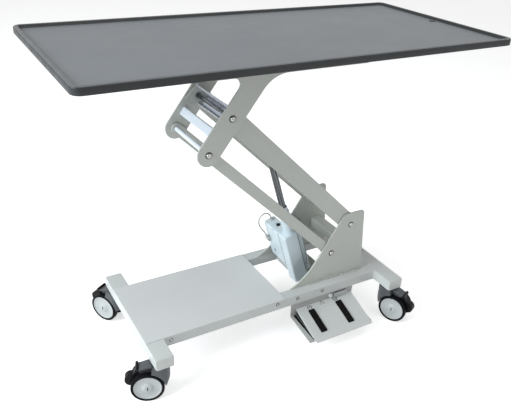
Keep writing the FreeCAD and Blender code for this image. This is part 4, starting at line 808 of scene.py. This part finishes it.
def switch_marks():
    """Generic symbols above the treads: an arrow between two arcs, and two bars under an arc."""
    outlines = []
    for x, sign in zip(SYMBOL_X, (1.0, -1.0)):
        outlines += [arc_mark(x, SYMBOL_V, ARC_RADIUS, ARC_WIDTH, 120, 240),
                     arc_mark(x, SYMBOL_V, ARC_RADIUS, ARC_WIDTH, -60, 60),
                     [(x - ARROW_HALF, SYMBOL_V), (x + ARROW_HALF, SYMBOL_V),
                      (x, SYMBOL_V + sign * ARROW_LENGTH)]]
    outlines += [rectangle(156.0, 163.4, -13.2, -11.0), rectangle(167.8, 175.2, -13.2, -11.0),
                 arc_mark(165.6, -8.0, 6.0, 2.0, 20, 160)]
    marks = Shape()
    for outline in outlines:
        marks.prism(cover_axes(), outline, 0.0, MARK_HEIGHT)
    marks.make("switch_marks", ink_and_painted_shade, "base", "black_plastic", smooth=0)


def tread_ribs(body, x):
    ribs = Shape()
    v = RIB_FROM
    while v < RIB_TO:
        ribs.prism(cover_axes(), rectangle(x - TREAD_HALF + RIB_INSET, x + TREAD_HALF - RIB_INSET,
                                           -v - RIB_WIDTH, -v),
                   TREAD_PROUD - 0.3, TREAD_PROUD + 0.7, 0.3, 1)
        v += RIB_PITCH
    ribs.make(body + "_ribs", tread_rubber, body, "tread")


def guard_highlights():
    """Painted highlight: bright strips round the front edges of the switch guard."""
    shape = Shape()
    front = axes((0, GUARD_FACE_Y, 0), (1, 0, 0), (0, 0, 1))
    (left, right), (low, high) = GUARD_X, GUARD_Z
    for strip in ((left, right, high - GUARD_HIGHLIGHT_WIDTH, high + 0.2),
                  (left, right, low - 0.2, low + GUARD_HIGHLIGHT_WIDTH),
                  (left - 0.2, left + GUARD_HIGHLIGHT_WIDTH, low, high),
                  (right - GUARD_HIGHLIGHT_WIDTH, right + 0.2, low, high)):
        shape.prism(front, rectangle(*strip), 0.0, 0.5)
    shape.make("guard_highlights", light_paint, "base", "light_paint", smooth=0)


def cover_gap_shade():
    """Black walls under the cover's left and right edges, and a black strip beside it on the lower
    plate: painted shade in the gaps under the cover.
    """
    shade_fill = Shape()
    rear = COVER_REAR_Y - 1.0
    wall = [(rear, COVER_TOP - 3.0), (rear, 78.5), (-266.0, 56.9), (-262.0, 59.8)]
    sideways = axes((COVER_LEFT + 2.4, 0, 0), (0, 1, 0), (0, 0, 1))
    shade_fill.prism(sideways, wall, 0.0, 2.4)
    shade_fill.prism(sideways, wall, GAP_SHADE_RIGHT, GAP_SHADE_RIGHT + 2.0)
    plate_y, plate_z = LOWER_PLATE_REAR

    def on_plate(x, y, h):
        return x, y, plate_z + (y - plate_y) * LOWER_PLATE_SLOPE + h

    shade_fill.prism(on_plate, [(COVER_LEFT - 10.0, -148.0), (COVER_LEFT, -148.0), (COVER_LEFT, -262.0),
                          (COVER_LEFT - 2.5, -262.0)], 0.0, 0.9)
    shade_fill.make("foot_cover_painted_shade", black_plastic, "base", "black_plastic", smooth=0)


def foot_switch_details():
    switch_marks()
    # Crease across the cover: a strip of the darker bead paint as painted shade in the fold
    crease = Shape()
    crease.prism(cover_axes(), rectangle(127.0, 212.0, -27.0, -26.3), 0.0, 0.15)
    crease.make("cover_crease", bead_shade_paint, "base", "paint", smooth=0)
    for body, x in zip(("raise_pedal", "lower_pedal"), TREAD_CENTRES):
        tread_ribs(body, x)
    guard_highlights()
    cover_gap_shade()


# Actuator -----------------------------------------------------------------------------------------

def actuator_axes():
    """(along, left, y) of the actuator's own frame, from its lower pin."""
    x, _, z = joints["rod_stroke"]["axis"]
    lean = turned(z, -x, 4)
    along = Vector((-math.sin(lean), 0, math.cos(lean)))
    left = Vector((-math.cos(lean), 0, -math.sin(lean)))
    origin = Vector((ACTUATOR_PIN[0], 0, ACTUATOR_PIN[1]))
    return lambda a, b, y: tuple(origin + along * a + left * b + Vector((0, y, 0)))


def ribbon(points, half):
    """Outline of a narrow strip along an open line."""
    left, right = [], []
    for i, (x, y) in enumerate(points):
        x0, y0 = points[max(i - 1, 0)]
        x1, y1 = points[min(i + 1, len(points) - 1)]
        length = math.hypot(x1 - x0, y1 - y0)
        nx, ny = -(y1 - y0) / length * half, (x1 - x0) / length * half
        left.append((x + nx, y + ny))
        right.append((x - nx, y - ny))
    return left + right[::-1]


def actuator_details():
    """Seams, slot and dimple as near-black strips of painted shade, and the screws and socket, of
    the gear housing and the control box.
    """
    place = actuator_axes()

    def front(a, b, h):
        return place(a, b, HOUSING_FRONT - h)

    def side_cover(a, b, h):
        return place(a, b, SIDE_COVER_FRONT - h)

    def left(a, y, h):
        return place(a, HOUSING_LEFT + h, y)

    # Points are (along, left) on the two fronts, and (along, y) on the left side
    # Near-black strips and dots standing for the shade in the seams, a slot and a dimple
    seam_shadows = Shape()
    for face, outline, height in (
            (front, ribbon([(221.0, -17.0), (190.0, -17.5), (120.0, -17.5), (72.0, -18.0),
                            (64.0, -19.0)], 0.7), 0.2),
            (side_cover, ribbon([(196.0, -37.0), (120.0, -36.0), (66.0, -29.0)], 0.65), 0.2),
            (left, ribbon([(226.0, -3.0), (150.0, -3.0), (94.0, -3.2)], 0.7), 0.2),
            (left, circle(91.5, -3.4, 2.6, steps=16), 0.4),
            (left, ribbon([(104.0, 58.0), (117.0, 58.0)], 2.6), 0.4),
            (left, ribbon([(222.0, 40.0), (226.0, 22.0)], 0.5), 0.2),
            (front, circle(57.0, -20.5, 3.4, steps=16), 0.5)):
        seam_shadows.prism(face, outline, 0.0, height)
    seam_shadows.make("case_seam_shadows", ink_and_painted_shade, "actuator", "actuator_case", smooth=0)

    socket = Shape()
    socket.lathe(lambda a, b, h: place(BOX_TOP + h, 6.0 + a, 34.0 + b),
                 [(7.0, -0.5), (7.0, 2.4), (6.2, 3.0), (4.4, 3.0), (4.2, 1.2), (0.01, 1.0)], 24,
                 True)
    socket.make("box_socket", black_plastic, "actuator", "black_plastic")

    bolts = Shape()
    small_head = [(2.5, 0.0), (2.4, 0.7), (1.5, 1.3), (0.01, 1.5)]
    bolts.lathe(lambda a, b, h: front(57.0 + a, -20.5 + b, 0.4 + h), small_head, 16, True)
    bolts.lathe(lambda a, b, h: side_cover(205.0 + a, -33.0 + b, h), small_head, 16, True)
    bolts.lathe(lambda a, b, h: place(HOUSING_TOP + h, -15.0 + a, -9.0 + b),
                [(4.2, -0.5), (4.2, 3.0), (3.4, 3.8), (0.01, 4.0)], 20, True)
    bolts.make("case_screws", screw_steel, "actuator", "screw")


# Casters ------------------------------------------------------------------------------------------

def caster_axes(name):
    """(along the trail, sideways, up) of a caster, from the floor under its stem."""
    stem, axle = joint_place(name + "_swivel"), joint_place(name + "_roll")
    a = turned(axle[0] - stem[0], axle[1] - stem[1], 1)
    return axes((stem[0], stem[1], 0), (math.cos(a), math.sin(a), 0),
                (-math.sin(a), math.cos(a), 0))


def caster_details(name):
    """Tyres, discs with their hubs and near-black slot marks of painted shade, and the brake pedal
    of one caster.
    """
    caster = caster_axes(name)
    wheels = name + "_wheels"
    tyres, discs, slot_shadows = Shape(), Shape(), Shape()
    # Near-black marks on the discs stand for the hub slots: painted shade in place of the recess
    slot = circle(0.0, 5.0, 1.7, 0, 180, 8) + circle(0.0, -5.0, 1.7, 180, 360, 8)
    for side in (-1, 1):
        def wheel(a, b, h):
            return caster(TRAIL + a, side * h, WHEEL_RADIUS + b)

        tyres.lathe(wheel, TYRE_PROFILE, WHEEL_STEPS)
        discs.lathe(wheel, DISC_PROFILE, WHEEL_STEPS)
        slot_shadows.prism(wheel, slot, WHEEL_OUTER + 1.6, WHEEL_OUTER + 2.15)
    discs.lathe(lambda a, b, h: caster(TRAIL + a, h, WHEEL_RADIUS + b),
                [(HUB_RADIUS, -HUB_HALF), (HUB_RADIUS, HUB_HALF)], 24)
    tyres.make(name + "_tyre_skin", tyre_rubber, wheels, "tyre", (name + "_caster_tyres",), 25.0)
    discs.make(name + "_disc_skin", disc_plastic, wheels, "disc", (name + "_caster_wheels",), 30.0)
    slot_shadows.make(name + "_hub_slot_shadows", ink_and_painted_shade, wheels, "disc", smooth=0)
    brake_pedal(name, caster)


def brake_pedal(name, caster):
    """Saddle in the hood's valley, the pedal's tab, and the round lobe between the wheels.

    The outlines' points are (along the trail, up).
    """
    def place(u, w, v):
        return caster(u, v, w)

    saddle = Shape()
    saddle.prism(place, [(25.0, 119.0), (26.5, 112.0), (60.0, 104.5), (67.0, 104.5), (67.0, 108.2),
                         (58.0, 110.5), (46.0, 115.0), (34.0, 119.0)], -17.0, 17.0, 1.5)
    saddle.prism(place, [(25.5, 116.0), (37.0, 93.0), *circle(38.0, 86.0, 6.5, 130, 320, 10),
                         (50.0, 88.0), (63.0, 103.0), (60.0, 108.0), (34.0, 116.0)],
                 -12.0, 12.0, 1.2)
    saddle.make(name + "_pedal_saddle", hood_plastic, name + "_brake", "hood",
                (name + "_caster_pedal",), 30.0)
    black = Shape()
    black.prism(place, [(66.0, 103.0), (71.5, 102.0), (75.0, 104.5), (74.5, 110.0), (72.0, 113.6),
                        (68.6, 114.2), (66.0, 112.0)], -18.0, 18.0, 1.6)
    black.prism(place, [*circle(87.0, 66.0, 20.0, -100, 100, 24), (72.0, 100.0), (70.0, 104.0),
                        (66.0, 104.0), (66.0, 60.0)], -11.0, 11.0, 1.5)
    black.make(name + "_pedal_tab", black_plastic, name + "_brake", "black_plastic")


# Cable --------------------------------------------------------------------------------------------

def cable():
    place = actuator_axes()
    data = bpy.data.curves.new("box_lead", "CURVE")
    data.dimensions = "3D"
    spline = data.splines.new("NURBS")
    spline.points.add(len(CABLE_ROUTE) - 1)
    route = [tuple(c / MM_PER_M for c in place(along, left, CABLE_Y))
             for along, left in CABLE_ROUTE]
    for point, position in zip(spline.points, route):
        point.co = (*position, 1.0)
    spline.order_u = 3
    spline.use_endpoint_u = True
    data.resolution_u = 12
    data.bevel_depth = CABLE_RADIUS / MM_PER_M
    data.bevel_resolution = 5
    data.use_fill_caps = True
    data.materials.append(cable_jacket)
    lead = bpy.data.objects.new("box_lead", data)
    bpy.context.scene.collection.objects.link(lead)
    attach(lead, "actuator")
    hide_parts("box_cable")
    exit_point = route[0]
    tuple(exit_point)


# Stage --------------------------------------------------------------------------------------------

def stage():
    mesh = bpy.data.meshes.new("floor")
    corners = rectangle(-FLOOR_HALF, FLOOR_HALF, -FLOOR_HALF, FLOOR_HALF)
    mesh.from_pydata([(x, y, 0) for x, y in corners], [], [(0, 1, 2, 3)])
    mesh.materials.append(floor_material("studio_floor"))
    floor = bpy.data.objects.new("floor", mesh)
    bpy.context.scene.collection.objects.link(floor)


def lamp(name, direction, distance, size, watts, colour):
    """Round area lamp at a distance from the table's middle, facing it."""
    data = bpy.data.lights.new(name, "AREA")
    data.shape = "DISK"
    data.size = size
    data.energy = watts
    data.color = colour
    light = bpy.data.objects.new(name, data)
    bpy.context.scene.collection.objects.link(light)
    away = Vector(direction).normalized()
    light.location = Vector(LAMP_TARGET) + away * distance
    light.rotation_euler = away.to_track_quat("Z", "Y").to_euler()


def world():
    """White to the camera and in reflections, and a plain level of light on the object."""
    studio = bpy.data.worlds.new("studio")
    bpy.context.scene.world = studio
    studio.use_nodes = True
    tree = studio.node_tree
    background = tree.nodes["Background"]
    background.inputs["Color"].default_value = (1, 1, 1, 1)
    span = tree.nodes.new("ShaderNodeMapRange")
    span.inputs["To Min"].default_value = WORLD_LEVEL
    span.inputs["To Max"].default_value = 1.0
    tree.links.new(seen_ray(tree), span.inputs["Value"])
    tree.links.new(span.outputs["Result"], background.inputs["Strength"])


make_camera()
cable()
dress_cad()
tray()
screws()
weld_beads()
foot_switch_details()
actuator_details()
for caster_name in CASTERS:
    caster_details(caster_name)
stage()
lamp("key", (-0.88, -0.05, 0.44), distance=4.0, size=2.6, watts=168.0, colour=(0.90, 0.97, 1.0))
lamp("overhead", (0.1, -0.1, 1.0), distance=3.0, size=3.0, watts=34.0, colour=(1.0, 1.0, 1.0))
lamp("front", (0.40, -1.0, 0.30), distance=4.0, size=2.0, watts=13.0, colour=(1.0, 1.0, 0.99))
world()
